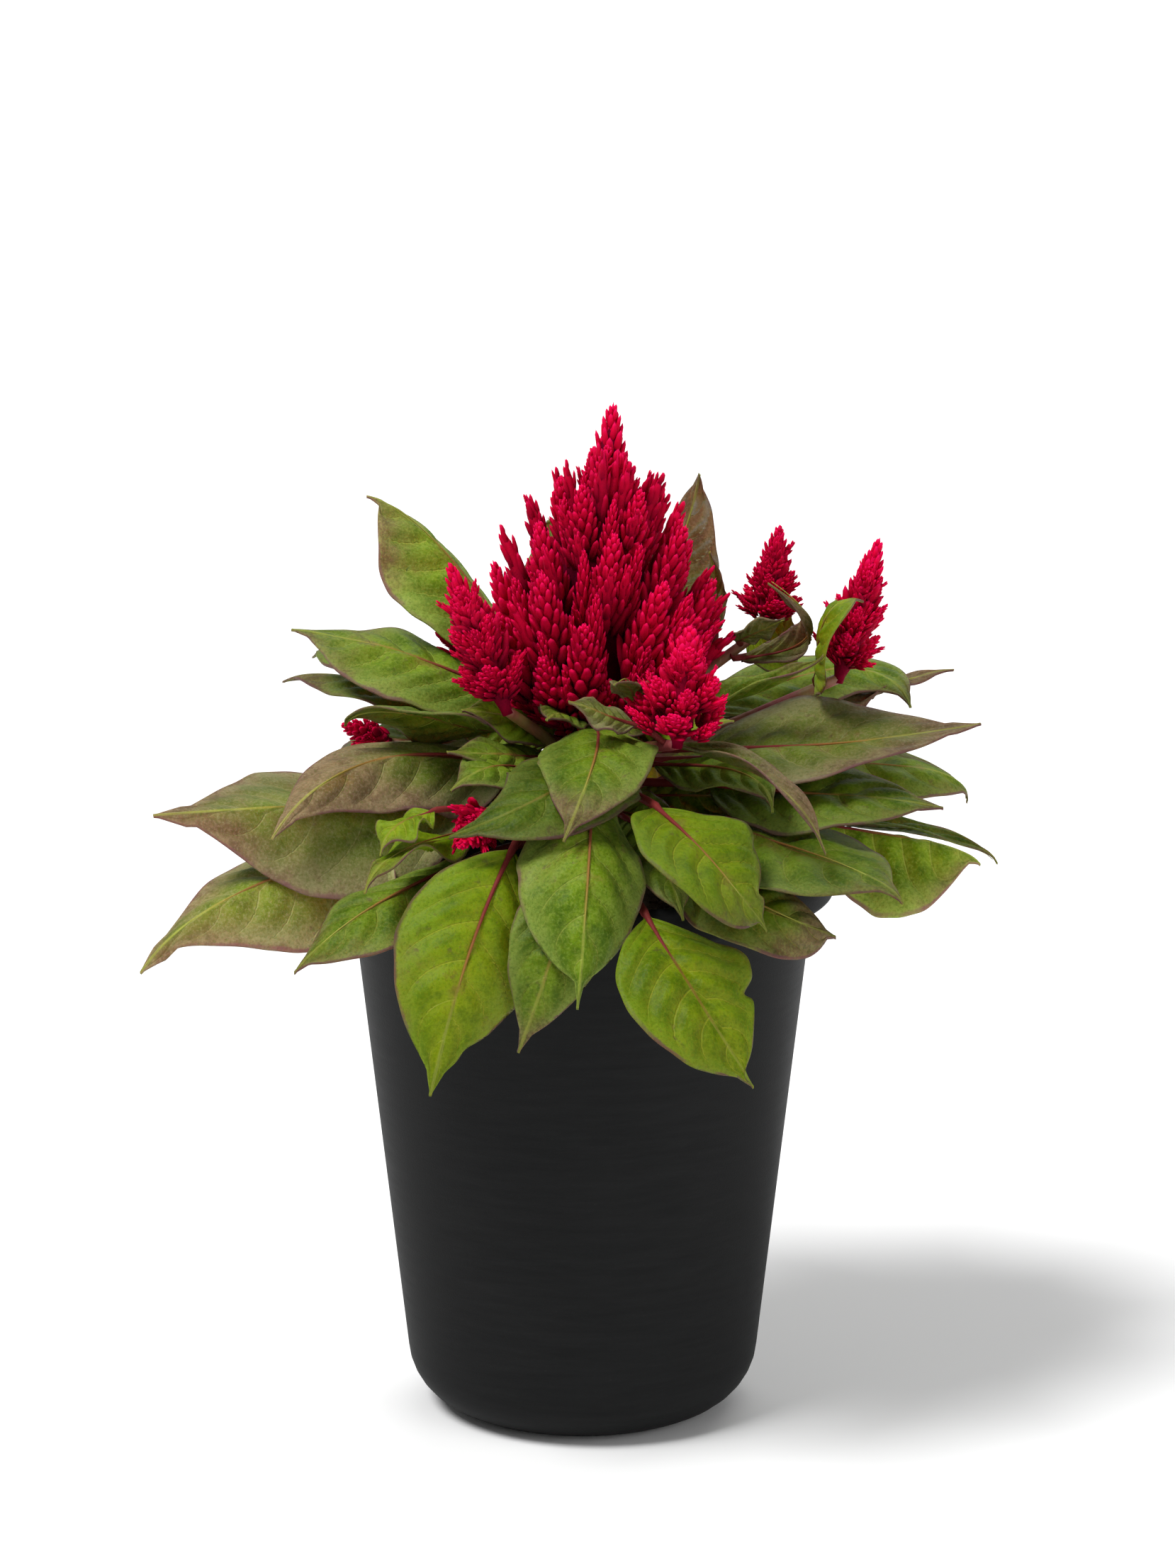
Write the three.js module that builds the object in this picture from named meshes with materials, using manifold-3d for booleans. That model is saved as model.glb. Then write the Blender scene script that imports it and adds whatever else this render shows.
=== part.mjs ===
// Plume celosia in a round nursery pot: pot, soil, a branched stem, leaves and feathery plumes.
// Millimetres, +Z up. The origin is the centre of the pot's base, and the plant's front faces -Y.
import * as THREE from "three";
import { mergeVertices } from "three/addons/utils/BufferGeometryUtils.js";
import Module from "manifold-3d";

const wasm = await Module();
wasm.setup();

// Driving dimensions
const clearance = 0.3;
const pot = {
  height: 131.5, lipHeight: 9, lipRadius: 58, lipRound: 1.5,
  wall: 1.6, floor: 2, heelRadius: 41, heelRound: 15, shoulderRadius: 53.4,
  drainRadius: 3, drainReach: 17, sides: 24,
};
const soil = { top: 119, mound: 1.2, roughness: 0.9, holeDepth: 26 };
const stemSides = { main: 8, shoot: 6 };
const leafBuild = { spineSteps: 60, petioleHalf: 1.1, edge: 0.6, blade: 0.8, rib: 0.7 };
const seed = 41;

// Each stem runs through its points, with its radius given at the start and at the end.
const stems = {
  main: { path: [[0, 0, 94], [0, 0, 119], [0, -1, 140], [2, -2, 163]], radius: [3.4, 2.4] },
  leftShoot: { path: [[0, -1, 150], [-8, -14, 161], [-17, -25, 170]], radius: [1.7, 1.2] },
  frontRightShoot: { path: [[1, -1, 152], [11, -21, 160], [21, -38, 165]], radius: [1.7, 1.2] },
  rightInnerShoot: { path: [[1, -1, 156], [21, 4, 168], [42, 6, 183]], radius: [1.6, 1.1] },
  rightOuterShoot: { path: [[0, -1, 148], [30, 8, 158], [59, 7, 171]], radius: [1.7, 1.2] },
  lowLeftShoot: { path: [[0, -1, 144], [-22, 2, 155], [-44, -3, 158]], radius: [1.4, 1] },
  frontLowShoot: { path: [[0, -1, 142], [-9, -22, 152], [-21, -44, 151]], radius: [1.4, 1] },
  backLeftShoot: { path: [[0, -1, 146], [-11, 12, 161], [-24, 20, 169]], radius: [1.4, 1] },
  backShoot: { path: [[1, -1, 148], [8, 16, 161], [14, 32, 170]], radius: [1.5, 1.1] },
};

// A leaf grows from a stem at a height, passes through mid and ends at tip. Stalk is the share of its
// length without a blade, roll turns the blade about its rib, fold lifts or drops each half, and belly
// and taper shape the outline from the base and from the tip.
const leaves = {
  frontLeftLow: { at: 149, mid: [-17, -57, 142], tip: [-33, -74, 95], width: 33, stalk: 0.47,
    roll: [14, 35], fold: [-19, -5], cup: -0.1, belly: 0.85, taper: 1.2, tone: "lime" },
  frontCentreLow: { at: 151, mid: [2, -59, 151], tip: [-1, -76, 115], width: 31, stalk: 0.35,
    roll: [12, 16], fold: [-22, -25], cup: -0.2, belly: 0.95, taper: 0.95, tone: "green" },
  frontRightLow: { at: 140, mid: [16, -64, 129], tip: [37, -78, 98], width: 32, stalk: 0.55,
    roll: [-2, -3], fold: [0, 7], cup: -0.1, belly: 1, taper: 1.25, tone: "lime" },
  frontGap: { at: 135, mid: [-3, -63, 135], tip: [-14, -64, 102], width: 21, stalk: 0.42, roll: [6, 6],
    fold: [-11, 1], belly: 1, taper: 1.3, tone: "green" },
  frontRightHook: { at: 148, mid: [19.5, -57, 152.5], tip: [40, -67, 130], width: 31, stalk: 0.54,
    roll: [-4, 4], fold: [-2, 2], belly: 0.7, taper: 0.85, tone: "lime" },
  centreTop: { at: 162, mid: [3, -44, 165], tip: [-4, -67, 150], width: 27, stalk: 0.25, roll: [-10, 8],
    fold: [-12, -12], belly: 0.55, taper: 1, tone: "green" },
  centreLeft: { at: 159, mid: [-4, -50, 159], tip: [-29, -59, 149], width: 30, stalk: 0.25, roll: [5, 19],
    fold: [-10, -10], belly: 0.6, taper: 1.2, tone: "green" },
  centreSmall: { on: "frontRightShoot", at: 164, mid: [10, -37, 170], tip: [-3, -44, 176], width: 9,
    stalk: 0.3, roll: [23, 22], tone: "bronze" },
  centreBehind: { on: "frontRightShoot", at: 161, mid: [11, -29, 177], tip: [7, -40, 179], width: 9,
    stalk: 0.3, roll: [19, 19], tone: "bronze" },
  leftHigh: { at: 156, mid: [-29, 18, 196], tip: [-50, 23, 211], width: 35, stalk: 0.29, roll: [17, 7],
    fold: [-19, -46], belly: 0.7, taper: 0.65, tone: "green" },
  leftUpper: { at: 159, mid: [-34, 2, 176], tip: [-67, 10, 182], width: 32, stalk: 0.24, roll: [17, 16],
    fold: [-18, -12], belly: 0.75, taper: 1.05, tone: "green" },
  leftThin: { at: 150, mid: [-45, 9, 169], tip: [-70, 24, 167], width: 24, stalk: 0.39, roll: [6, 9],
    fold: [-9, -36], belly: 0.85, taper: 1.4, tone: "green" },
  leftMid: { at: 157, mid: [-40, -20, 169], tip: [-54, -20, 168], width: 25, stalk: 0.3, roll: [-6, -3],
    curl: 20, fold: [9, -25], belly: 0.9, taper: 1.2, tone: "green" },
  leftBronze: { at: 148, mid: [-43, -26, 160], tip: [-68, -52, 147], width: 30, stalk: 0.22,
    roll: [32, 30], fold: [-25, -33], belly: 0.4, taper: 1.15, tone: "bronze" },
  leftInner: { on: "frontLowShoot", at: 150, mid: [-18, -34, 160], tip: [-29, -44, 156], width: 18,
    stalk: 0.25, roll: [23, 19], tone: "green" },
  leftFar: { at: 146, mid: [-40, -26, 150], tip: [-94, -51, 152], width: 46, stalk: 0.26, roll: [15, 42],
    fold: [-31, -23], belly: 0.95, taper: 1.5, tone: "bronze" },
  leftFarLow: { at: 141, mid: [-64, -42, 138], tip: [-97, -57, 118], width: 43, stalk: 0.45,
    roll: [17, 23], fold: [-49, -25], belly: 0.4, taper: 1.5, tone: "bronze" },
  leftLow: { at: 137, mid: [-39, -52, 136], tip: [-63, -61, 119], width: 26, stalk: 0.42, roll: [22, 31],
    fold: [0, -38], belly: 0.9, taper: 1.1, tone: "green" },
  leftRuffle: { at: 139, mid: [-34, -47, 146], tip: [-47, -69, 139], width: 14, stalk: 0.3, roll: [1, 0],
    wave: 2, waves: 2.5, tone: "lime" },
  leftSprig: { on: "frontLowShoot", at: 155, mid: [-38, -54, 152], tip: [-44, -60, 145], width: 12,
    stalk: 0.4, roll: [-1, 0], wave: 1.5, tone: "lime" },
  rightTop: { at: 156, mid: [58, -15, 161], tip: [90, -15, 165], width: 36, stalk: 0.27, roll: [-25, -22],
    fold: [0, 8], belly: 0.7, taper: 1.4, tone: "bronze" },
  rightRedRib: { at: 158, mid: [36, -46, 162], tip: [53, -58, 145], width: 10, stalk: 0.21,
    roll: [-8, -8], fold: [5, 35], belly: 0.85, taper: 0.9, tone: "bronze" },
  rightInner: { at: 151, mid: [32, -28, 158], tip: [42, -43, 151], width: 16, stalk: 0.3,
    roll: [-18, -20], tone: "green" },
  rightCurl: { at: 153, mid: [69, -1, 153], tip: [92, 8, 145], width: 27, stalk: 0.36, roll: [-22, -17],
    fold: [-18, -21], curl: 25, belly: 0.8, taper: 1.25, tone: "green" },
  rightDark: { at: 149, mid: [51, -22, 151], tip: [81, -26, 148], width: 31, stalk: 0.34,
    roll: [-17, -18], fold: [-1, -7], belly: 0.75, taper: 1.25, tone: "green" },
  rightFarLow: { at: 143, mid: [67, -8, 138.5], tip: [91, -9, 131], width: 42, stalk: 0.52,
    roll: [-24, -38], fold: [-58, -16], belly: 0.95, taper: 0.85, tone: "green" },
  rightTail: { at: 147, mid: [74, 9, 135], tip: [96, 7, 127.5], width: 12, stalk: 0.4, roll: [-9, -11],
    fold: [20, 20], tone: "green" },
  rightLow: { at: 146, mid: [51, -43, 142], tip: [70, -58, 134], width: 41, stalk: 0.28, roll: [-8, -15],
    belly: 1.05, taper: 1.15, fold: [-17, -4], tone: "green" },
  rightRusty: { at: 142, mid: [32, -50, 135.8], tip: [56, -49, 124], width: 25, stalk: 0.42, roll: [0, -18],
    belly: 0.8, taper: 0.8, fold: [-16, -15], tone: "green" },
  rightShade: { at: 144, mid: [14, -38, 144], tip: [22, -61, 131], width: 18, stalk: 0.4, tone: "green" },
  rightTwist: { on: "rightOuterShoot", at: 156, mid: [67, 26, 165], tip: [87, 28, 169], width: 12,
    stalk: 0.3, roll: [0, 0], wave: 1.5, tone: "bronze" },
  rightBehind: { at: 155, mid: [56, 27, 169], tip: [76, 14, 163], width: 24, stalk: 0.3, roll: [-16, -17],
    tone: "green" },
  rightNeedle: { at: 159, mid: [42, -14, 174], tip: [54, -21, 182], width: 9, stalk: 0.2,
    roll: [-19, -20], fold: [35, 35], tone: "green" },
  rightUpright: { on: "rightOuterShoot", at: 169, mid: [54, -11, 188], tip: [63, -7, 194], width: 22,
    stalk: 0.05, roll: [-90, -90], curl: 30, tone: "lime" },
  rightHookUp: { on: "rightInnerShoot", at: 177, mid: [51, -2, 183], tip: [42, -8, 196], width: 8,
    stalk: 0.05, roll: [-62, -60], fold: [35, 35], tone: "bronze" },
  rightSmallDark: { on: "rightInnerShoot", at: 179, mid: [37, -1, 183], tip: [46, -3, 187], width: 9,
    stalk: 0.2, roll: [-19, -13], tone: "bronze" },
  rightPin: { on: "rightInnerShoot", at: 175, mid: [31, 8, 189], tip: [29, 4, 201], width: 5, stalk: 0.2,
    roll: [-20, -20], fold: [30, 30], tone: "bronze" },
  rightPale: { on: "rightInnerShoot", at: 177, mid: [43, 10, 178], tip: [48, 12, 185], width: 15,
    stalk: 0.2, roll: [-40, -40], tone: "lime" },
  backRight: { on: "backShoot", at: 164, mid: [23, 31, 200], tip: [27, 30, 215], width: 23, stalk: 0.28,
    roll: [2, 4], fold: [-15, -60], belly: 0.7, taper: 1.2, tone: "bronze" },
  backLeft: { at: 153, mid: [-41, 32, 172], tip: [-65, 59, 166], width: 34, stalk: 0.28, tone: "green" },
  backMid: { at: 152, mid: [-7, 48, 165], tip: [-14, 85, 148], width: 34, stalk: 0.28, tone: "bronze" },
  backRightLow: { at: 146, mid: [34, 45, 162], tip: [58, 70, 145], width: 34, stalk: 0.28,
    tone: "green" },
  backLeftLow: { at: 142, mid: [-39, 49, 154], tip: [-62, 69, 129], width: 32, stalk: 0.3,
    tone: "green" },
  backDrop: { at: 141, mid: [14, 52, 151], tip: [20, 68, 115], width: 32, stalk: 0.32, tone: "lime" },
  backHigh: { at: 156, mid: [-6, 51, 190], tip: [-8, 57, 199], width: 25, stalk: 0.28, tone: "green" },
  backSide: { at: 139, mid: [50, 31, 152], tip: [88, 45, 140], width: 32, stalk: 0.3, tone: "bronze" },
};
const leafDefaults = { on: "main", roll: [0, 0], fold: [-12, -12], cup: 0, curl: 0, wave: 0.6, waves: 2,
  belly: 0.8, taper: 1.15 };

// A plume stands on its stem's end, with an axis to its tip and rows of spikes that reach out by spread.
const plumes = {
  mainPlume: { on: "main", tip: [7, 0, 236], spread: 31, spike: 4.6, rings: 4, sides: 8, rows: "full" },
  leftPlume: { on: "leftShoot", tip: [-30, -21, 203], spread: 10, spike: 2.7, rings: 3, sides: 6,
    rows: "side" },
  frontRightPlume: { on: "frontRightShoot", tip: [24, -38, 192], spread: 13, spike: 3, rings: 3, sides: 6,
    rows: "side" },
  rightInnerPlume: { on: "rightInnerShoot", tip: [45, 6, 207], spread: 9, spike: 2.3, rings: 3, sides: 6,
    rows: "side" },
  rightOuterPlume: { on: "rightOuterShoot", tip: [68, 6, 204], spread: 11, spike: 2.5, rings: 3, sides: 6,
    rows: "side" },
  lowLeftPlume: { on: "lowLeftShoot", tip: [-55, -6, 163], spread: 5, spike: 2.2, rings: 3, sides: 6,
    rows: "bud" },
  frontLowPlume: { on: "frontLowShoot", tip: [-27, -54, 145], spread: 5, spike: 2.3, rings: 3, sides: 6,
    rows: "bud" },
  backLeftPlume: { on: "backLeftShoot", tip: [-34, 24, 188], spread: 7, spike: 2.4, rings: 2, sides: 6,
    rows: "side" },
  backPlume: { on: "backShoot", tip: [18, 42, 194], spread: 8, spike: 2.5, rings: 2, sides: 6,
    rows: "side" },
};
// Rows from the top down: height of the spikes' tips and their length as shares of the axis, reach as a
// share of the spread, lean from the axis in degrees, and how many spikes stand round.
const plumeRows = {
  full: [
    { height: 0.86, reach: 0.2, count: 3, length: 0.2, lean: 12 },
    { height: 0.76, reach: 0.42, count: 5, length: 0.26, lean: 18 },
    { height: 0.64, reach: 0.68, count: 6, length: 0.34, lean: 24 },
    { height: 0.5, reach: 0.88, count: 7, length: 0.36, lean: 32 },
    { height: 0.37, reach: 1, count: 7, length: 0.32, lean: 42 },
    { height: 0.23, reach: 0.89, count: 6, length: 0.28, lean: 56 },
    { height: 0.12, reach: 0.58, count: 4, length: 0.2, lean: 74 },
  ],
  side: [
    { height: 0.82, reach: 0.36, count: 3, length: 0.3, lean: 20 },
    { height: 0.6, reach: 0.78, count: 3, length: 0.34, lean: 32 },
    { height: 0.34, reach: 1, count: 3, length: 0.3, lean: 48 },
  ],
  bud: [
    { height: 0.6, reach: 0.9, count: 3, length: 0.6, lean: 40 },
  ],
};

const colours = {
  pot: 0x1b1e1f, soil: 0x3a2a20, stem: 0x7a2233, plume: 0xc01040, lime: 0x9abf35, green: 0x5c8f3a,
  bronze: 0x77704c,
};

// Small helpers
function seededRandom(start) {
  let state = start;
  return () => {
    state = (state * 1664525 + 1013904223) % 4294967296;
    return state / 4294967296;
  };
}

const toVector = (list) => new THREE.Vector3(...list);
const smooth = THREE.MathUtils.smoothstep;
const lerp = THREE.MathUtils.lerp;
const radians = THREE.MathUtils.degToRad;

// A closed geometry from points and triangles, turned to face outwards.
function closedGeometry(points, triangles) {
  let volume = 0;
  for (const [a, b, c] of triangles) {
    volume += points[a].dot(new THREE.Vector3().crossVectors(points[b], points[c]));
  }
  const faces = volume < 0 ? triangles.map(([a, b, c]) => [a, c, b]) : triangles;
  return new THREE.BufferGeometry().setFromPoints(points).setIndex(faces.flat());
}

// A closed body skinned over rings of equal count, with a fan at each end, or an apex at the last one.
function loft(rings, apex = null) {
  const sides = rings[0].length;
  const triangles = [];
  for (let ring = 0; ring < rings.length - 1; ring++) {
    for (let side = 0; side < sides; side++) {
      const next = (side + 1) % sides;
      const low = ring * sides;
      const high = low + sides;
      triangles.push([low + side, low + next, high + next], [low + side, high + next, high + side]);
    }
  }
  const last = (rings.length - 1) * sides;
  for (let side = 1; side < sides - 1; side++) {
    triangles.push([0, side + 1, side]);
    if (!apex) triangles.push([last, last + side, last + side + 1]);
  }
  for (let side = 0; apex && side < sides; side++) {
    triangles.push([last + side, last + ((side + 1) % sides), last + sides]);
  }
  return closedGeometry(apex ? [...rings.flat(), apex] : rings.flat(), triangles);
}

function toSolid(geometry) {
  const bare = geometry.clone();
  bare.deleteAttribute("normal");
  bare.deleteAttribute("uv");
  const merged = mergeVertices(bare, 1e-4);
  return new wasm.Manifold(new wasm.Mesh({
    numProp: 3,
    vertProperties: merged.attributes.position.array,
    triVerts: new Uint32Array(merged.index.array),
  }));
}

function toGeometry(solid) {
  const mesh = solid.getMesh();
  return new THREE.BufferGeometry()
    .setAttribute("position", new THREE.BufferAttribute(mesh.vertProperties, 3))
    .setIndex(new THREE.BufferAttribute(mesh.triVerts, 1));
}

// The outer shell of the largest body, so that enclosed hollows are filled and loose scraps dropped.
function largestBody(solid) {
  return solid.decompose().reduce((most, body) => (body.volume() > most.volume() ? body : most));
}

// A level ring of points about the pot's axis.
function levelRing(radius, height) {
  return Array.from({ length: pot.sides }, (_, side) => {
    const angle = (2 * Math.PI * side) / pot.sides;
    return new THREE.Vector3(radius * Math.cos(angle), radius * Math.sin(angle), height);
  });
}

// Pot
// The outer wall's radius at a height, straight from the heel's round to under the lip.
function wallRadius(height) {
  const share = (height - pot.heelRound) / (pot.height - pot.lipHeight - pot.heelRound);
  return lerp(pot.heelRadius, pot.shoulderRadius, share);
}

// Rings round the heel, from the flat foot up to the wall, set in by the wall's thickness for the inside.
function heelRings(inset) {
  return [0, 25, 50, 75].map((degrees) => {
    const round = pot.heelRound - inset;
    const centre = pot.heelRadius - pot.heelRound;
    return levelRing(
      centre + round * Math.sin(radians(degrees)),
      pot.heelRound - round * Math.cos(radians(degrees)),
    );
  });
}

function makePot() {
  const { wall, lipRadius, lipRound, height, lipHeight } = pot;
  const shoulder = height - lipHeight;
  const shell = toSolid(loft([
    ...heelRings(0),
    levelRing(wallRadius(shoulder), shoulder),
    levelRing(lipRadius - lipRound, shoulder),
    levelRing(lipRadius, shoulder + lipRound),
    levelRing(lipRadius, height - lipRound),
    levelRing(lipRadius - lipRound, height),
    levelRing(lipRadius - 2 * lipRound, height),
    levelRing(wallRadius(shoulder) - wall / 2, height - 2 * lipRound),
    levelRing(wallRadius(shoulder) - wall, shoulder - wall),
    ...heelRings(wall).reverse(),
  ]));
  const drains = [45, 135, 225, 315].map((degrees) => {
    const drill = new THREE.CylinderGeometry(pot.drainRadius, pot.drainRadius, 4 * pot.floor, 10);
    drill.rotateX(Math.PI / 2).translate(
      pot.drainReach * Math.cos(radians(degrees)),
      pot.drainReach * Math.sin(radians(degrees)),
      pot.floor / 2,
    );
    return toSolid(drill);
  });
  return toGeometry(drains.reduce((body, drain) => body.subtract(drain), shell));
}

// Soil: fills the pot to its level, mounded and rough on top, with a plain hole for the stem.
function makeSoil() {
  const inset = pot.wall + clearance;
  const holeRadius = stems.main.radius[0] + clearance;
  const edgeRadius = wallRadius(soil.top) - inset;
  const surface = (share) => levelRing(lerp(holeRadius, edgeRadius, share), soil.top).map((point) => {
    const angle = Math.atan2(point.y, point.x);
    const clods = Math.sin(7 * angle + 9 * share) * Math.sin(4 * angle - 17 * share);
    point.z += (soil.mound + soil.roughness * clods) * (1 - share);
    return point;
  });
  return loft([
    ...heelRings(inset),
    levelRing(edgeRadius, soil.top),
    surface(0.84),
    surface(0.6),
    surface(0.3),
    levelRing(holeRadius, soil.top + soil.mound / 2),
    levelRing(holeRadius, soil.top - soil.holeDepth),
  ]);
}

// Stems
function stemCurve(name) {
  return new THREE.CatmullRomCurve3(stems[name].path.map(toVector));
}

function stemRadius(name, share) {
  return lerp(...stems[name].radius, share);
}

// The place on a stem at a height, with the stem's direction and radius there.
function stemPlace(name, height) {
  const curve = stemCurve(name);
  let low = 0;
  let high = 1;
  for (let turn = 0; turn < 30; turn++) {
    const share = (low + high) / 2;
    if (curve.getPoint(share).z < height) {
      low = share;
    } else {
      high = share;
    }
  }
  return { point: curve.getPoint(low), along: curve.getTangent(low), radius: stemRadius(name, low) };
}

function ringAround(centre, across, up, radius, sides, turn = 0) {
  return Array.from({ length: sides }, (_, side) => {
    const angle = turn + (2 * Math.PI * side) / sides;
    return centre.clone()
      .addScaledVector(across, radius * Math.cos(angle))
      .addScaledVector(up, radius * Math.sin(angle));
  });
}

// Two directions square to an axis.
function crossAxes(axis) {
  const helper = Math.abs(axis.x) < 0.9 ? new THREE.Vector3(1, 0, 0) : new THREE.Vector3(0, 1, 0);
  const across = new THREE.Vector3().crossVectors(helper, axis).normalize();
  return [across, new THREE.Vector3().crossVectors(axis, across).normalize()];
}

function stemBody(name) {
  const curve = stemCurve(name);
  const isMain = name === "main";
  const steps = isMain ? 6 : 3;
  const sides = isMain ? stemSides.main : stemSides.shoot;
  const rings = [];
  for (let step = 0; step <= steps; step++) {
    const share = step / steps;
    const [across, up] = crossAxes(curve.getTangent(share));
    rings.push(ringAround(curve.getPoint(share), across, up, stemRadius(name, share), sides));
  }
  return toSolid(loft(rings));
}

function makeStem() {
  const bodies = Object.keys(stems).map(stemBody);
  return toGeometry(largestBody(bodies.reduce((all, body) => all.add(body))));
}

// Leaves
function bladeShape(share, belly, taper) {
  const peak = belly / (belly + taper);
  return (share ** belly * (1 - share) ** taper) / (peak ** belly * (1 - peak) ** taper);
}

// The leaf's rib as evenly spaced points: a parabola from the root through mid to the tip.
function leafSpine(root, mid, tip) {
  const control = mid.clone().multiplyScalar(2).addScaledVector(root, -0.5).addScaledVector(tip, -0.5);
  return new THREE.QuadraticBezierCurve3(root, control, tip).getSpacedPoints(leafBuild.spineSteps);
}

// The root sits just off the stem's surface, on the side that the leaf grows to.
function leafRoot(leaf, petioleHalf) {
  const { point, along, radius } = stemPlace(leaf.on, leaf.at);
  const mid = toVector(leaf.mid);
  const outward = mid.clone().sub(point);
  outward.addScaledVector(along, -outward.dot(along)).normalize();
  const control = mid.clone().multiplyScalar(2).addScaledVector(point, -0.5)
    .addScaledVector(toVector(leaf.tip), -0.5);
  const start = control.sub(point).normalize();
  const reach = radius + clearance + petioleHalf * Math.abs(start.dot(along));
  return point.addScaledVector(outward, reach);
}

// Frames along the rib: its point, the direction across the blade and the blade's normal.
function leafFrames(leaf, spine) {
  const steps = spine.length - 1;
  const stride = spine[0].distanceTo(spine[1]);
  const frames = [];
  let across = null;
  let previous = null;
  for (let step = 0; step <= steps; step++) {
    const share = step / steps;
    const tangent = spine[Math.min(step + 1, steps)].clone().sub(spine[Math.max(step - 1, 0)]).normalize();
    across = across || new THREE.Vector3().crossVectors(tangent, new THREE.Vector3(0, 0, 1));
    across.addScaledVector(tangent, -across.dot(tangent)).normalize();
    const roll = radians(lerp(leaf.roll[0], leaf.roll[1], share));
    const side = across.clone().applyAxisAngle(tangent, -roll);
    const flat = new THREE.Vector3().crossVectors(side, tangent);
    const curl = radians(leaf.curl) * Math.max(0, (share - 0.7) / 0.3) ** 1.5;
    const along = tangent.clone().multiplyScalar(Math.cos(curl)).addScaledVector(flat, -Math.sin(curl));
    const normal = new THREE.Vector3().crossVectors(side, along);
    const point = previous
      ? previous.point.clone().addScaledVector(previous.along.clone().add(along), stride / 2)
      : spine[0].clone();
    previous = { point, side, along, normal };
    frames.push(previous);
  }
  return frames;
}

function frameAt(frames, share) {
  const place = Math.min(share, 0.9999) * (frames.length - 1);
  const low = Math.floor(place);
  const mix = (key) => frames[low][key].clone().lerp(frames[low + 1][key], place - low);
  return { point: mix("point"), side: mix("side"), normal: mix("normal") };
}

// One blade and its petiole as a closed loft of equal front and back rows.
function makeLeaf(name) {
  const leaf = { ...leafDefaults, ...leaves[name] };
  const small = leaf.width < 20;
  const petioleHalf = leafBuild.petioleHalf * (small ? 0.75 : 1);
  const columns = small ? [-1, 0, 1] : [-1, -0.5, 0, 0.5, 1];
  const rows = small ? [0.1, 0.3, 0.52, 0.76, 1] : [0.07, 0.22, 0.41, 0.61, 0.82, 1];
  const root = leafRoot(leaf, petioleHalf);
  const frames = leafFrames(leaf, leafSpine(root, toVector(leaf.mid), toVector(leaf.tip)));
  const petiole = small ? [0, leaf.stalk * 0.9] : [0, leaf.stalk * 0.5, leaf.stalk * 0.95];
  const stations = [...petiole, ...rows.map((share) => leaf.stalk + (1 - leaf.stalk) * share)];
  const front = [];
  const back = [];
  for (const station of stations) {
    const { point, side, normal } = frameAt(frames, station);
    const share = Math.max(0, (station - leaf.stalk) / (1 - leaf.stalk));
    const outline = bladeShape(share, leaf.belly, leaf.taper);
    const half = Math.max((leaf.width / 2) * outline, lerp(petioleHalf, 0.45, Math.min(1, share * 2)));
    const isBlade = smooth(share, 0, 0.12);
    for (const column of columns) {
      const isRight = column < 0 ? 0 : 1;
      const fold = radians(leaf.fold[isRight]) * isBlade;
      const ripple = Math.sin(2 * Math.PI * (leaf.waves * share + (isRight ? 0 : 0.5)));
      const lift = half * (Math.abs(column) * Math.sin(fold) + leaf.cup * isBlade * column ** 2)
        + leaf.wave * ripple * column ** 2 * outline;
      const middle = point.clone()
        .addScaledVector(side, half * column * Math.cos(fold))
        .addScaledVector(normal, lift);
      const stemThickness = 2 * petioleHalf * Math.sqrt(Math.max(0.15, 1 - column ** 2));
      const ribThickness = column === 0 ? leafBuild.rib * (1 - 0.7 * share) : 0;
      const bladeThickness = Math.abs(column) === 1 ? leafBuild.edge : leafBuild.blade + ribThickness;
      const thickness = lerp(stemThickness, bladeThickness, isBlade);
      front.push(middle.clone().addScaledVector(normal, thickness / 2));
      back.push(middle.clone().addScaledVector(normal, -thickness / 2));
    }
  }
  return skinBlade(front, back, columns.length);
}

// Closes the front and back sheets of a blade with walls along their edges and ends.
function skinBlade(front, back, width) {
  const count = front.length;
  const length = count / width;
  const triangles = [];
  const quad = (a, b, c, d) => triangles.push([a, b, c], [a, c, d]);
  for (let row = 0; row < length - 1; row++) {
    for (let column = 0; column < width - 1; column++) {
      const corner = row * width + column;
      quad(corner, corner + 1, corner + width + 1, corner + width);
      const under = corner + count;
      triangles.push([under, under + width + 1, under + 1], [under, under + width, under + width + 1]);
    }
    const left = row * width;
    const right = left + width - 1;
    quad(left, left + width, left + width + count, left + count);
    quad(right, right + count, right + width + count, right + width);
  }
  for (let column = 0; column < width - 1; column++) {
    const end = (length - 1) * width + column;
    quad(column, column + count, column + 1 + count, column + 1);
    quad(end, end + 1, end + 1 + count, end + count);
  }
  return closedGeometry([...front, ...back], triangles);
}

// Plumes
// A spike of florets: rings of raised tips and valleys that alternate from ring to ring, up to a point.
function spikeBody({ base, tip, radius, rings, sides, turn }) {
  const axis = tip.clone().sub(base);
  const length = axis.length();
  axis.normalize();
  const [across, up] = crossAxes(axis);
  const stride = length / rings;
  const layers = [];
  for (let ring = 0; ring < rings; ring++) {
    const share = ring / rings;
    const girth = radius * (0.62 + 0.95 * share - 1.45 * share ** 2);
    layers.push(Array.from({ length: sides }, (_, side) => {
      const isTip = (side + ring) % 2 === 0;
      const angle = turn + (2 * Math.PI * side) / sides;
      const reach = girth * (isTip ? 1.12 : 0.66);
      const rise = length * share + (isTip ? 0.45 * stride : 0);
      return base.clone()
        .addScaledVector(axis, rise)
        .addScaledVector(across, reach * Math.cos(angle))
        .addScaledVector(up, reach * Math.sin(angle));
    }));
  }
  return toSolid(loft(layers, tip));
}

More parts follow.
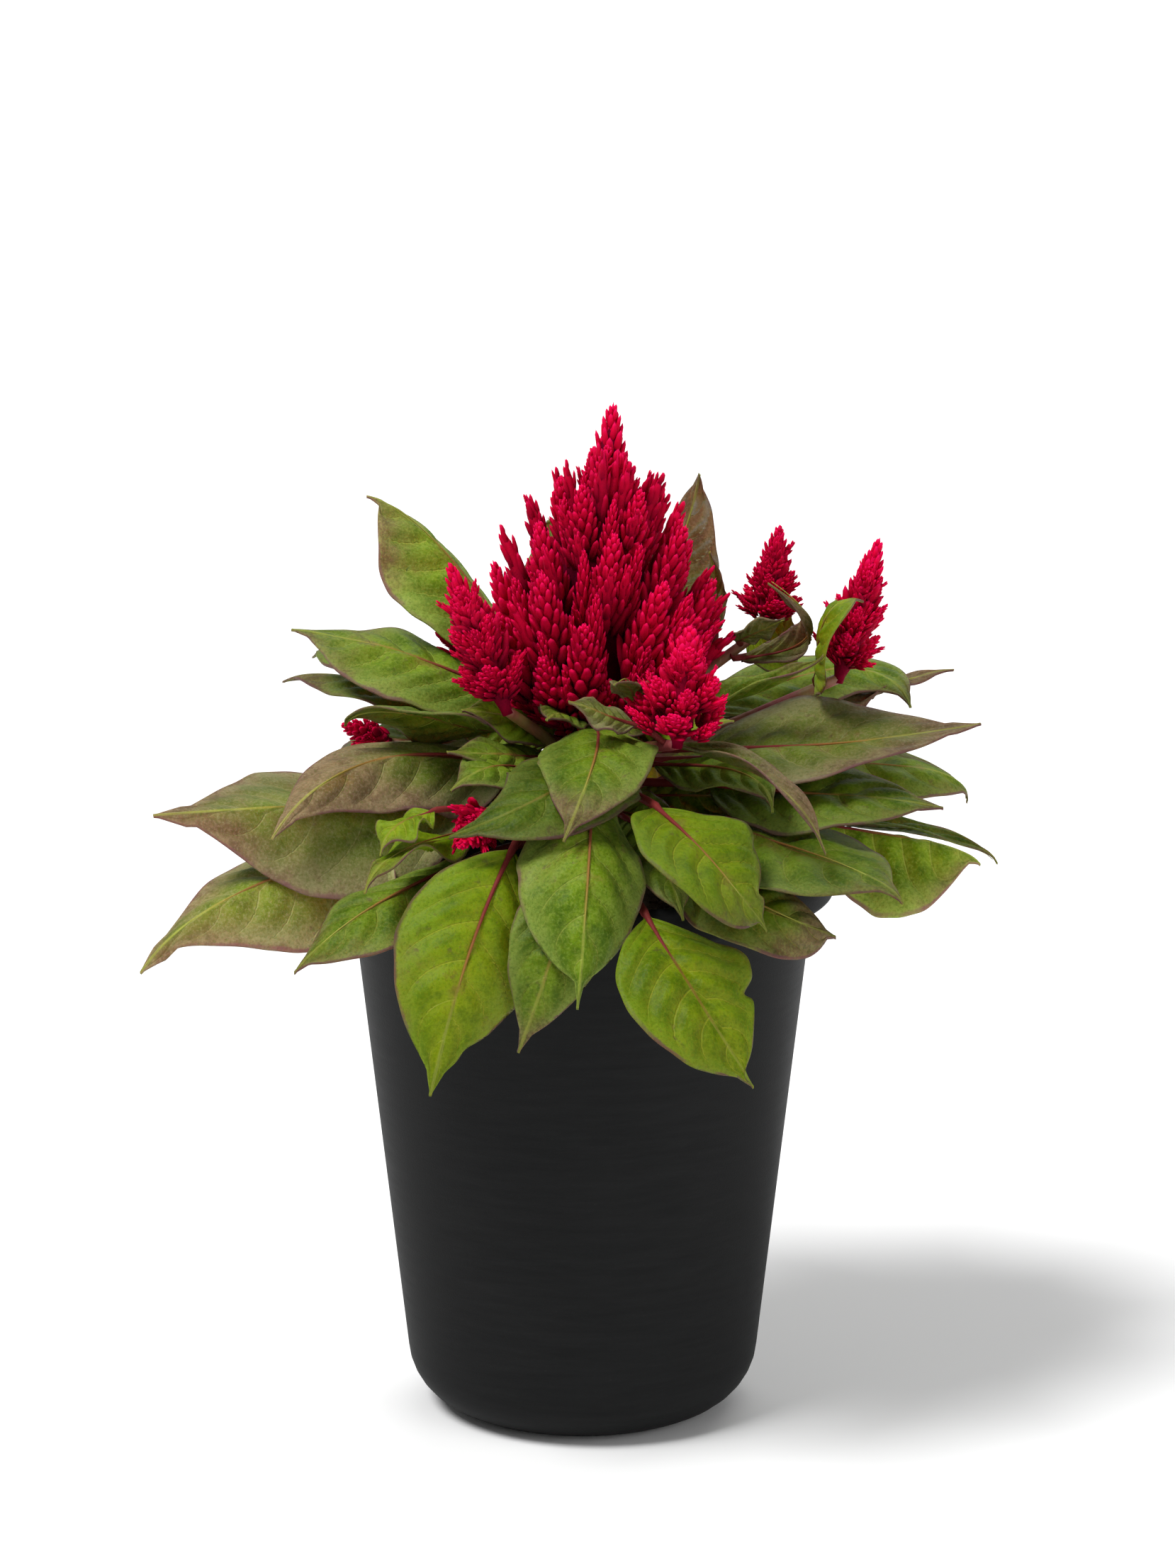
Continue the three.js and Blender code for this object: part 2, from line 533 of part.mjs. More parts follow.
// The smaller core that the spikes stand out of.
function coreBody(base, tip, footRadius, spread, sides) {
  const axis = tip.clone().sub(base);
  const [across, up] = crossAxes(axis.clone().normalize());
  const profile = [
    [0, footRadius / spread], [0.1, 0.42], [0.35, 0.5], [0.6, 0.36], [0.8, 0.18], [0.92, 0.06],
  ];
  return toSolid(loft(profile.map(([share, reach]) => {
    const centre = base.clone().addScaledVector(axis, share);
    return ringAround(centre, across, up, reach * spread, sides);
  })));
}

function makePlume(name, random) {
  const plume = plumes[name];
  const base = stemCurve(plume.on).getPoint(1);
  const start = stemCurve(plume.on).getTangent(1);
  const tip = toVector(plume.tip);
  const footRadius = stemRadius(plume.on, 1);
  const axis = tip.clone().sub(base);
  const length = axis.length();
  const along = axis.clone().normalize();
  const [across, up] = crossAxes(along);
  const shape = { radius: plume.spike, rings: plume.rings, sides: plume.sides };
  const leader = base.clone().addScaledVector(axis, 0.55);
  const bodies = [
    coreBody(base, tip, footRadius, plume.spread, plume.sides),
    spikeBody({ ...shape, base: leader, tip, turn: 0 }),
  ];
  for (const [index, row] of plumeRows[plume.rows].entries()) {
    for (let spike = 0; spike < row.count; spike++) {
      const angle = (2 * Math.PI * (spike + 0.5 * (index % 2) + 0.3 * (random() - 0.5))) / row.count;
      const outward = across.clone().multiplyScalar(Math.cos(angle))
        .addScaledVector(up, Math.sin(angle));
      const reach = plume.spread * row.reach * (0.94 + 0.12 * random());
      const end = base.clone().addScaledVector(along, length * (row.height + 0.04 * (random() - 0.5)))
        .addScaledVector(outward, reach);
      const lean = radians(row.lean);
      const heading = along.clone().multiplyScalar(Math.cos(lean))
        .addScaledVector(outward, Math.sin(lean));
      const root = end.clone().addScaledVector(heading, -length * row.length);
      bodies.push(spikeBody({ ...shape, base: root, tip: end, turn: 2 * Math.PI * random() }));
    }
  }
  const trimmed = wasm.Manifold.union(bodies).trimByPlane(start.toArray(), start.dot(base) + clearance);
  return toGeometry(largestBody(trimmed));
}

// The whole plant
function named(name, geometry, colour, roughness = 0.6) {
  const material = new THREE.MeshStandardMaterial({ color: colour, roughness, metalness: 0 });
  const mesh = new THREE.Mesh(geometry, material);
  mesh.name = name;
  return mesh;
}

const plant = new THREE.Group();
plant.add(named("pot", makePot(), colours.pot, 0.45));
plant.add(named("soil", makeSoil(), colours.soil, 0.95));
plant.add(named("stem", makeStem(), colours.stem, 0.5));
for (const name of Object.keys(leaves)) {
  plant.add(named(name + "Leaf", makeLeaf(name), colours[leaves[name].tone]));
}
const random = seededRandom(seed);
for (const name of Object.keys(plumes)) {
  plant.add(named(name, makePlume(name, random), colours.plume, 0.7));
}

export default plant;
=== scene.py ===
import math
import random
import bpy
import bmesh
from mathutils import Matrix, Vector, noise


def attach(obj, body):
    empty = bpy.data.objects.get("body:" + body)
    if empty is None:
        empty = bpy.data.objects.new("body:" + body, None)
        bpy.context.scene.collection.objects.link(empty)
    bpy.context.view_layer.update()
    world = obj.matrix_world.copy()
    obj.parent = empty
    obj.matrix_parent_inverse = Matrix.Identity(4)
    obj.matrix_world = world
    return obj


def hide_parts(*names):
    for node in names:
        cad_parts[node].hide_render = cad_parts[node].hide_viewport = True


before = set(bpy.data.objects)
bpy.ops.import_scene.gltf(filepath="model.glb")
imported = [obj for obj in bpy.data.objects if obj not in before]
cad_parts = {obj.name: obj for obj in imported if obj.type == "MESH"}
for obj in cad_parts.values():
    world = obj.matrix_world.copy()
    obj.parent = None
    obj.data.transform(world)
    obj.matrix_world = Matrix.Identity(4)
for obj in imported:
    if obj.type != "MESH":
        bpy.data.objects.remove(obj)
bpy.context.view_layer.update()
mm = 0.001
print("frame loaded:", len(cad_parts), "nodes")

# View: the camera stands in front and a little above, as far off as a portrait lens would be
view = {"target": (1.14, 0, 147.6), "distance": 1100, "elevation": 12.5, "lens": 109.97, "sensor": 36}


def addObject(name, data):
    made = bpy.data.objects.new(name, data)
    bpy.context.collection.objects.link(made)
    return made


def addCamera():
    tilt = math.radians(view["elevation"])
    target = Vector(view["target"]) * mm
    camera = bpy.data.cameras.new("camera")
    camera.sensor_fit = "VERTICAL"
    camera.sensor_height = view["sensor"]
    camera.lens = view["lens"]
    camera.clip_end = 60
    stand = addObject("camera", camera)
    stand.location = target + Vector((0, -math.cos(tilt), math.sin(tilt))) * view["distance"] * mm
    stand.rotation_euler = (math.pi / 2 - tilt, 0, 0)
    bpy.context.scene.camera = stand


addCamera()


class Value:  # a socket's value, on which the usual operators add Math nodes
    def __init__(self, tree, socket):
        self.tree = tree
        self.socket = socket

    def math(self, operation, *operands, clamp=False):
        settings = {"operation": operation, "use_clamp": clamp}
        return addNode(self.tree, "ShaderNodeMath", settings, dict(enumerate(operands)))

    def __add__(self, other):
        return self.math("ADD", self, other)

    def __radd__(self, other):
        return self.math("ADD", other, self)

    def __sub__(self, other):
        return self.math("SUBTRACT", self, other)

    def __rsub__(self, other):
        return self.math("SUBTRACT", other, self)

    def __mul__(self, other):
        return self.math("MULTIPLY", self, other)

    def __rmul__(self, other):
        return self.math("MULTIPLY", other, self)

    def bounded(self):
        return self.math("ADD", self, 0, clamp=True)

    def size(self):
        return self.math("ABSOLUTE", self)

    def rest(self):
        return self.math("FRACT", self)


def addNode(tree, kind, settings=None, inputs=None, output=0):
    made = tree.nodes.new(kind)
    for name, value in (settings or {}).items():
        if name == "stops":
            ramp = made.color_ramp
            while len(ramp.elements) < len(value):
                ramp.elements.new(0.5)
            for element, (place, colour) in zip(ramp.elements, value):
                element.position = place
                element.color = (*colour, 1)
        else:
            setattr(made, name, value)
    for name, value in (inputs or {}).items():
        if isinstance(value, Value):
            tree.links.new(value.socket, made.inputs[name])
        else:
            made.inputs[name].default_value = value
    return Value(tree, made.outputs[output])


def smoothStep(value, low, high):
    settings = {"interpolation_type": "SMOOTHSTEP"}
    inputs = {"Value": value, "From Min": low, "From Max": high}
    return addNode(value.tree, "ShaderNodeMapRange", settings, inputs)


def fadeOut(value, low, high):
    return 1 - smoothStep(value, low, high)


def mixColours(factor, first, second):  # the Mix node has its colours at inputs 6 and 7, and at output 2
    colours = [c if isinstance(c, Value) else (*c, 1) for c in (first, second)]
    inputs = {0: factor, 6: colours[0], 7: colours[1]}
    return addNode(factor.tree, "ShaderNodeMix", {"data_type": "RGBA"}, inputs, 2)


def layered(ground, *layers):  # each layer is how far it covers the ground, and its colour
    for cover, colour in layers:
        ground = mixColours(cover, ground, colour)
    return ground


def noiseAt(tree, vector, scale, detail=3, roughness=0.55):
    inputs = {"Vector": vector, "Scale": scale, "Detail": detail, "Roughness": roughness}
    return addNode(tree, "ShaderNodeTexNoise", {}, inputs, "Fac")


def newFinish(name, **constants):
    material = bpy.data.materials.new(name)
    material.use_nodes = True
    shader = material.node_tree.nodes["Principled BSDF"]
    for socket, value in constants.items():
        shader.inputs[socket.replace("_", " ")].default_value = value
    return material, material.node_tree, shader


def wire(shader, **links):
    for socket, value in links.items():
        shader.id_data.links.new(value.socket, shader.inputs[socket.replace("_", " ")])


def objectPlace(tree):
    return addNode(tree, "ShaderNodeTexCoord", {}, {}, "Object")


def scaledPlace(tree, scale):
    return addNode(tree, "ShaderNodeMapping", {}, {"Vector": objectPlace(tree), "Scale": scale})


def attributeVector(tree, name):
    return addNode(tree, "ShaderNodeAttribute", {"attribute_name": name}, {}, "Vector")


def partsOf(vector):
    split = addNode(vector.tree, "ShaderNodeSeparateXYZ", {}, {0: vector})
    return [Value(vector.tree, socket) for socket in split.socket.node.outputs]


def bumpFrom(height, distance, strength=1.0):
    inputs = {"Height": height, "Distance": distance, "Strength": strength}
    return addNode(height.tree, "ShaderNodeBump", {}, inputs)


# Widths are in millimetres, scales are per metre, and a cover is how strongly its layer shows
leafLook = {
    "veins": 6.5, "veinStart": 0.07, "veinSweep": 0.2, "veinShift": 0.42, "veinHalfWidth": 0.13,
    "haloWidth": 2.4, "ribHalfWidth": 0.3, "netScale": 0.6, "reliefHeight": 0.001,
    "wanderScale": 70, "patchScale": 60, "blotchScale": 150, "lumpScale": 300, "speckScale": 520,
    "grainScale": 1500,
    "glowCover": 0.55, "paintedSheenCover": 0.75, "haloCover": 0.14, "netCover": 0.07, "veinCover": 0.42,
    "flushCover": 0.85, "rustCover": 0.5, "speckCover": 0.5, "paleGrain": 1.8, "deepGrain": 2.4,
    "edgeCover": 0.85,
    "ribBase": (0.17, 0.024, 0.022), "ribMiddle": (0.25, 0.13, 0.03), "ribEnd": (0.27, 0.29, 0.05),
    "edge": (0.12, 0.055, 0.055), "flush": (0.155, 0.095, 0.055), "flushDeep": (0.085, 0.040, 0.028),
    "rust": (0.15, 0.085, 0.02),
}
# In each tone, the pale grey-green serves both the pale grain and a painted sheen towards the blade's edges
leafTones = {
    "lime": {"pale": (0.15, 0.245, 0.005), "deep": (0.06, 0.12, 0.001), "glow": (0.21, 0.28, 0.002),
             "paleGrainAndSheen": (0.185, 0.27, 0.015), "vein": (0.34, 0.36, 0.03)},
    "green": {"pale": (0.115, 0.175, 0.012), "deep": (0.032, 0.072, 0.0015), "glow": (0.13, 0.21, 0.003),
              "paleGrainAndSheen": (0.19, 0.25, 0.045), "vein": (0.24, 0.27, 0.045)},
    "bronze": {"pale": (0.13, 0.15, 0.03), "deep": (0.05, 0.07, 0.007), "glow": (0.11, 0.17, 0.005),
               "paleGrainAndSheen": (0.22, 0.20, 0.10), "vein": (0.26, 0.24, 0.09)},
}


def leafFinish(name, tone):
    look = leafLook
    material, tree, shader = newFinish(name, Subsurface_Weight=0.1, Subsurface_Scale=0.002,
                                       Specular_IOR_Level=0.08)
    place = objectPlace(tree)
    blade = attributeVector(tree, "blade")
    across, _, stalk = partsOf(blade)
    # The vein attribute's third part is the leaf's shade, its painted light-and-shade factor
    phase, spacing, shade = partsOf(attributeVector(tree, "vein"))
    share, reach, flush = partsOf(attributeVector(tree, "tint"))

    # Masks from the leaf's own lines: side veins with a halo, the midrib and the net between the veins
    wander = noiseAt(tree, place, look["wanderScale"], 2) - 0.5
    gap = (0.5 - ((phase + wander * 0.1).rest() - 0.5).size()) * spacing * 0.8
    fade = fadeOut(reach, 0.55, 0.95)
    vein = fadeOut(gap, look["veinHalfWidth"] * 0.3, look["veinHalfWidth"] * 2.2) * fade
    halo = fadeOut(gap, 0.1, look["haloWidth"]) * fade
    rib = fadeOut(across.size(), look["ribHalfWidth"] * 0.4, look["ribHalfWidth"] * 1.8)
    cells = {"Vector": blade, "Scale": look["netScale"]}
    net = addNode(tree, "ShaderNodeTexVoronoi", {"feature": "DISTANCE_TO_EDGE"}, cells, "Distance")

    # Masks from noise: soft patches, blotches, specks, and bronze that starts at the edges
    patches = noiseAt(tree, place, look["patchScale"], 4, 0.6)
    blotches = noiseAt(tree, place, look["blotchScale"], 4, 0.7)
    grain = noiseAt(tree, place, look["grainScale"], 2, 0.7)
    specks = smoothStep(noiseAt(tree, place, look["speckScale"], 2), 0.6, 0.72)
    specks = specks * smoothStep(patches, 0.46, 0.6)
    centre = fadeOut(reach, 0.1, 0.75) * smoothStep(blotches, 0.3, 0.6)
    # Painted sheen: the blade turns grey-green towards its edges, as a glancing highlight would make it
    paintedSheen = smoothStep(reach + patches * 0.5, 0.7, 1.35)
    bronze = smoothStep(flush + (blotches - 0.5) * 0.9 + (patches - 0.5) * 1.1, 0.3, 0.95)
    rust = smoothStep(blotches + patches * 0.6 - reach * 0.4, 0.8, 1.0)
    border = smoothStep(reach + blotches * 0.09, 0.98, 1.03) * smoothStep(patches, 0.35, 0.6)

    brown = mixColours(smoothStep(blotches, 0.42, 0.62), look["flush"], look["flushDeep"])
    ribTone = mixColours(smoothStep(share, 0.25, 0.55), look["ribBase"], look["ribMiddle"])
    ribTone = mixColours(smoothStep(share, 0.5, 0.8), ribTone, look["ribEnd"])
    ground = mixColours(smoothStep(patches * 0.6 + blotches * 0.4, 0.38, 0.62), tone["deep"], tone["pale"])
    ground = layered(
        ground,
        (centre * look["glowCover"], tone["glow"]),
        (paintedSheen * look["paintedSheenCover"], tone["paleGrainAndSheen"]),
        (halo * look["haloCover"], tone["vein"]),
        (fadeOut(net, 0.0, 0.1) * look["netCover"], tone["vein"]),
        (vein * look["veinCover"], tone["vein"]),
        (bronze * look["flushCover"] * (1 - vein * 0.35), brown),
        (rust * look["rustCover"], look["rust"]),
        (specks * look["speckCover"], look["flushDeep"]),
        ((grain - 0.5).bounded() * look["paleGrain"], tone["paleGrainAndSheen"]),
        ((0.5 - grain).bounded() * look["deepGrain"], tone["deep"]),
        (rib * (0.85 - share * 0.45), ribTone),
        (stalk, ribTone),
        (border * look["edgeCover"], look["edge"]),
    )
    # Painted light and shade: the leaf's colour is scaled by its shade, brighter where more light falls on it
    # and darker where it lies in shade
    paintedLightScale = {0: ground, "Scale": shade}
    ground = addNode(tree, "ShaderNodeVectorMath", {"operation": "SCALE"}, paintedLightScale, "Vector")

    lumps = noiseAt(tree, place, look["lumpScale"], 3)
    height = grain * 0.25 + net * 0.18 - vein * 0.4 - halo * 0.5 + lumps * 0.6
    wire(shader, Base_Color=ground, Roughness=0.33 + patches * 0.16 + grain * 0.14)
    wire(shader, Normal=bumpFrom(height, look["reliefHeight"], 0.5))
    return material


# The two darkest colours are painted shade for the plume's depths; edge is partly the lobe tips' own pink and
# partly a painted rim light
plumeLook = {
    "paintedDeepShade": (0.055, 0.0002, 0.009), "paintedHalfShade": (0.19, 0.0003, 0.017), "body": (0.43, 0.0003, 0.023),
    "tip": (0.78, 0.0005, 0.045), "edge": (0.74, 0.006, 0.14), "sheen": (1, 0.04, 0.3, 1),
    "mottleScale": 350, "grainScale": 2600, "edgeCover": 0.55, "reliefHeight": 0.00016,
}


def plumeFinish(name):
    look = plumeLook
    material, tree, shader = newFinish(
        name, Subsurface_Weight=0.12, Subsurface_Scale=0.001, Subsurface_Radius=(1, 0.1, 0.15),
        Sheen_Weight=0.04, Sheen_Roughness=0.3, Sheen_Tint=look["sheen"], Specular_IOR_Level=0.04)
    place = objectPlace(tree)
    rise, point, warmth = partsOf(attributeVector(tree, "bloom"))
    mottle = noiseAt(tree, place, look["mottleScale"], 3)
    grain = noiseAt(tree, place, look["grainScale"], 2, 0.7)
    # The ramp paints shade: low rise and point, at the bases of spikes and lobes and in the core, take the
    # darkest colours
    stops = [(0.0, look["paintedDeepShade"]), (0.28, look["paintedHalfShade"]), (0.6, look["body"]), (1.0, look["tip"])]
    level = rise * 0.5 + point * 0.42 + (mottle - 0.5) * 0.25 + (grain - 0.5) * 0.25 + warmth * 0.12 + 0.03
    ground = addNode(tree, "ShaderNodeValToRGB", {"stops": stops}, {"Fac": level.bounded()})
    # Pinker lobe tips: partly their own colour and partly a painted rim light, the pink sheen their edges
    # catch
    rim = smoothStep(point + rise * 0.25, 0.85, 1.25) * look["edgeCover"]
    wire(shader, Base_Color=mixColours(rim, ground, look["edge"]), Roughness=0.55 + mottle * 0.2)
    wire(shader, Normal=bumpFrom(grain + mottle * 0.5, look["reliefHeight"], 0.5))
    return material


stemLook = {"green": (0.20, 0.20, 0.035), "red": (0.24, 0.028, 0.035), "ridge": (0.34, 0.12, 0.10),
            "lengthening": 0.12, "ridgeScale": 900, "patchScale": 70, "reliefHeight": 0.0004}


def stemFinish(name):
    look = stemLook
    material, tree, shader = newFinish(name, Subsurface_Weight=0.08, Subsurface_Scale=0.002)
    ridges = noiseAt(tree, scaledPlace(tree, (1, 1, look["lengthening"])), look["ridgeScale"], 2)
    patches = noiseAt(tree, objectPlace(tree), look["patchScale"], 3)
    ground = mixColours(smoothStep(patches, 0.35, 0.65), look["green"], look["red"])
    ground = mixColours(ridges * 0.4, ground, look["ridge"])
    wire(shader, Base_Color=ground, Roughness=0.42 + patches * 0.15)
    wire(shader, Normal=bumpFrom(ridges, look["reliefHeight"], 0.7))
    return material


potLook = {"dark": (0.0065, 0.0068, 0.007), "light": (0.015, 0.0153, 0.0155), "dust": (0.045, 0.045, 0.043),
           "flattening": 9, "streakScale": 60, "dustScale": 900, "grainScale": 2600, "reliefHeight": 0.00012}


def potFinish(name):
    look = potLook
    material, tree, shader = newFinish(name, Specular_IOR_Level=0.05)
    place = objectPlace(tree)
    streaks = noiseAt(tree, scaledPlace(tree, (1, 1, look["flattening"])), look["streakScale"], 4, 0.65)
    settled = smoothStep(noiseAt(tree, place, look["dustScale"], 4, 0.7), 0.62, 0.78)
    dust = settled * smoothStep(streaks, 0.45, 0.65)
    grain = noiseAt(tree, place, look["grainScale"], 2)
    ground = mixColours(streaks, look["dark"], look["light"])
    ground = mixColours(dust * 0.3, ground, look["dust"])
    wire(shader, Base_Color=ground, Roughness=0.5 + streaks * 0.14 + dust * 0.2)
    wire(shader, Normal=bumpFrom(grain * 0.6 + streaks * 0.6, look["reliefHeight"], 0.5))
    return material


soilLook = {"dark": (0.012, 0.007, 0.004), "light": (0.07, 0.042, 0.024), "fibre": (0.13, 0.08, 0.045),
            "fleck": (0.30, 0.24, 0.16), "clodScale": 160, "fibreScale": 900, "fleckScale": 520,
            "reliefHeight": 0.002}


def soilFinish(name):
    look = soilLook
    material, tree, shader = newFinish(name, Specular_IOR_Level=0.2)
    place = objectPlace(tree)
    clods = noiseAt(tree, place, look["clodScale"], 5, 0.7)
    fibres = noiseAt(tree, place, look["fibreScale"], 4, 0.75)
    flecks = smoothStep(noiseAt(tree, place, look["fleckScale"], 1), 0.72, 0.76)
    shreds = smoothStep(fibres, 0.5, 0.75)
    ground = mixColours(clods, look["dark"], look["light"])
    ground = layered(ground, (shreds * 0.6, look["fibre"]), (flecks * 0.5, look["fleck"]))
    wire(shader, Base_Color=ground, Roughness=0.82 + fibres * 0.15)
    wire(shader, Normal=bumpFrom(clods + fibres * 0.7, look["reliefHeight"]))
    return material


makers = {"plume": plumeFinish, "stem": stemFinish, "pot": potFinish, "soil": soilFinish}
finishes = {"leaf_" + tone: leafFinish("leaf_" + tone, colours) for tone, colours in leafTones.items()}
finishes.update({name: maker(name) for name, maker in makers.items()})
print("finishes made:", len(finishes))


def meshFrom(name, bm):
    mesh = bpy.data.meshes.new(name)
    bm.to_mesh(mesh)
    bm.free()
    return mesh


def addPiece(name, bm, slot, *nodes):
    mesh = meshFrom(name, bm)
    mesh.materials.append(finishes[slot])
    mesh.polygons.foreach_set("use_smooth", [True] * len(mesh.polygons))
    piece = addObject(name, mesh)
    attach(piece, "root")
    if nodes:
        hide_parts(*nodes)
    return piece


def crossAxes(axis):
    helper = Vector((1, 0, 0)) if abs(axis.x) < 0.9 else Vector((0, 1, 0))
    across = helper.cross(axis).normalized()
    return across, axis.cross(across).normalized()


# The direction that lies an angle on from one direction towards another
def turned(first, second, angle):
    return first * math.cos(angle) + second * math.sin(angle)


def placed(origin, xAxis, yAxis, zAxis):
    return Matrix.Translation(origin) @ Matrix((xAxis, yAxis, zAxis)).transposed().to_4x4()


# A tube through placed rings: the first is a circle, and each next one is extruded from it and moved on
def sweepTube(bm, places, radii, sides, mark=None):
    ring = bmesh.ops.create_circle(bm, segments=sides, radius=1)["verts"]
    edges = list(dict.fromkeys(edge for vert in ring for edge in vert.link_edges))
    first = edges
    scaled = [place @ Matrix.Diagonal((radius, radius, radius, 1)) for place, radius in zip(places, radii)]
    bmesh.ops.transform(bm, matrix=scaled[0], verts=ring)
    for step, place in enumerate(scaled):
        if step:
            grown = bmesh.ops.extrude_edge_only(bm, edges=edges)["geom"]
            ring = [item for item in grown if isinstance(item, bmesh.types.BMVert)]
            edges = [item for item in grown if isinstance(item, bmesh.types.BMEdge)]
            bmesh.ops.transform(bm, matrix=place @ scaled[step - 1].inverted(), verts=ring)
        if mark:
            mark(ring, step)
    bmesh.ops.holes_fill(bm, edges=first + edges, sides=sides)


def lerp(low, high, share):
    return low + (high - low) * share


def smooth(value, low, high):
    share = min(1, max(0, (value - low) / (high - low)))
    return share * share * (3 - 2 * share)


# Each stem runs through its points, in millimetres, with its radius at the start and at the end
stems = {
    "main": {"path": [(0, 0, 94), (0, 0, 119), (0, -1, 140), (2, -2, 163)], "radius": (3.4, 2.4)},
    "leftShoot": {"path": [(0, -1, 150), (-8, -14, 161), (-17, -25, 170)], "radius": (1.7, 1.2)},
    "frontRightShoot": {"path": [(1, -1, 152), (11, -21, 160), (21, -38, 165)], "radius": (1.7, 1.2)},
    "rightInnerShoot": {"path": [(1, -1, 156), (21, 4, 168), (42, 6, 183)], "radius": (1.6, 1.1)},
    "rightOuterShoot": {"path": [(0, -1, 148), (30, 8, 158), (59, 7, 171)], "radius": (1.7, 1.2)},
    "lowLeftShoot": {"path": [(0, -1, 144), (-22, 2, 155), (-44, -3, 158)], "radius": (1.4, 1)},
    "frontLowShoot": {"path": [(0, -1, 142), (-9, -22, 152), (-21, -44, 151)], "radius": (1.4, 1)},
    "backLeftShoot": {"path": [(0, -1, 146), (-11, 12, 161), (-24, 20, 169)], "radius": (1.4, 1)},
    "backShoot": {"path": [(1, -1, 148), (8, 16, 161), (14, 32, 170)], "radius": (1.5, 1.1)},
}

stemBuild = {"main": {"steps": 26, "sides": 20}, "shoot": {"steps": 18, "sides": 14}}


# A smooth curve through a stem's points, at a share of its length
def stemPoint(name, share):
    path = [Vector(point) for point in stems[name]["path"]]
    place = min(share, 0.99999) * (len(path) - 1)
    index = int(place)
    before = path[index - 1] if index else path[0] * 2 - path[1]
    start, end = path[index], path[index + 1]
    after = path[index + 2] if index + 2 < len(path) else path[-1] * 2 - path[-2]
    a, b, c = [(far - near).length ** 0.5 for near, far in ((before, start), (start, end), (end, after))]
    leave = ((start - before) / a - (end - before) / (a + b) + (end - start) / b) * b
    arrive = ((end - start) / b - (after - start) / (b + c) + (after - end) / c) * b
    t = place - index
    bend = 2 * t ** 3 - 3 * t ** 2
    return start * (bend + 1) + leave * (t ** 3 - 2 * t ** 2 + t) - end * bend + arrive * (t ** 3 - t ** 2)


def stemHeading(name, share):
    low, high = max(0, share - 1e-4), min(1, share + 1e-4)
    return (stemPoint(name, high) - stemPoint(name, low)).normalized()


# Where a stem passes a height, by halving: the point, its direction and the stem's radius there
def stemPlace(name, height, halvings=30):
    low, high = 0, 1
    for halving in range(halvings):
        share = (low + high) / 2
        low, high = (share, high) if stemPoint(name, share).z < height else (low, share)
    return stemPoint(name, low), stemHeading(name, low), lerp(*stems[name]["radius"], low)


def makeStem():
    bm = bmesh.new()
    for name, stem in stems.items():
        build = stemBuild["main" if name == "main" else "shoot"]
        places, radii = [], []
        for step in range(build["steps"] + 1):
            share = step / build["steps"]
            heading = stemHeading(name, share)
            places.append(placed(stemPoint(name, share) * mm, *crossAxes(heading), heading))
            radii.append(lerp(*stem["radius"], share) * mm)
        sweepTube(bm, places, radii, build["sides"])
    bmesh.ops.recalc_face_normals(bm, faces=bm.faces)
    addPiece("branchedStem", bm, "stem", "stem")


makeStem()
print("stem made")
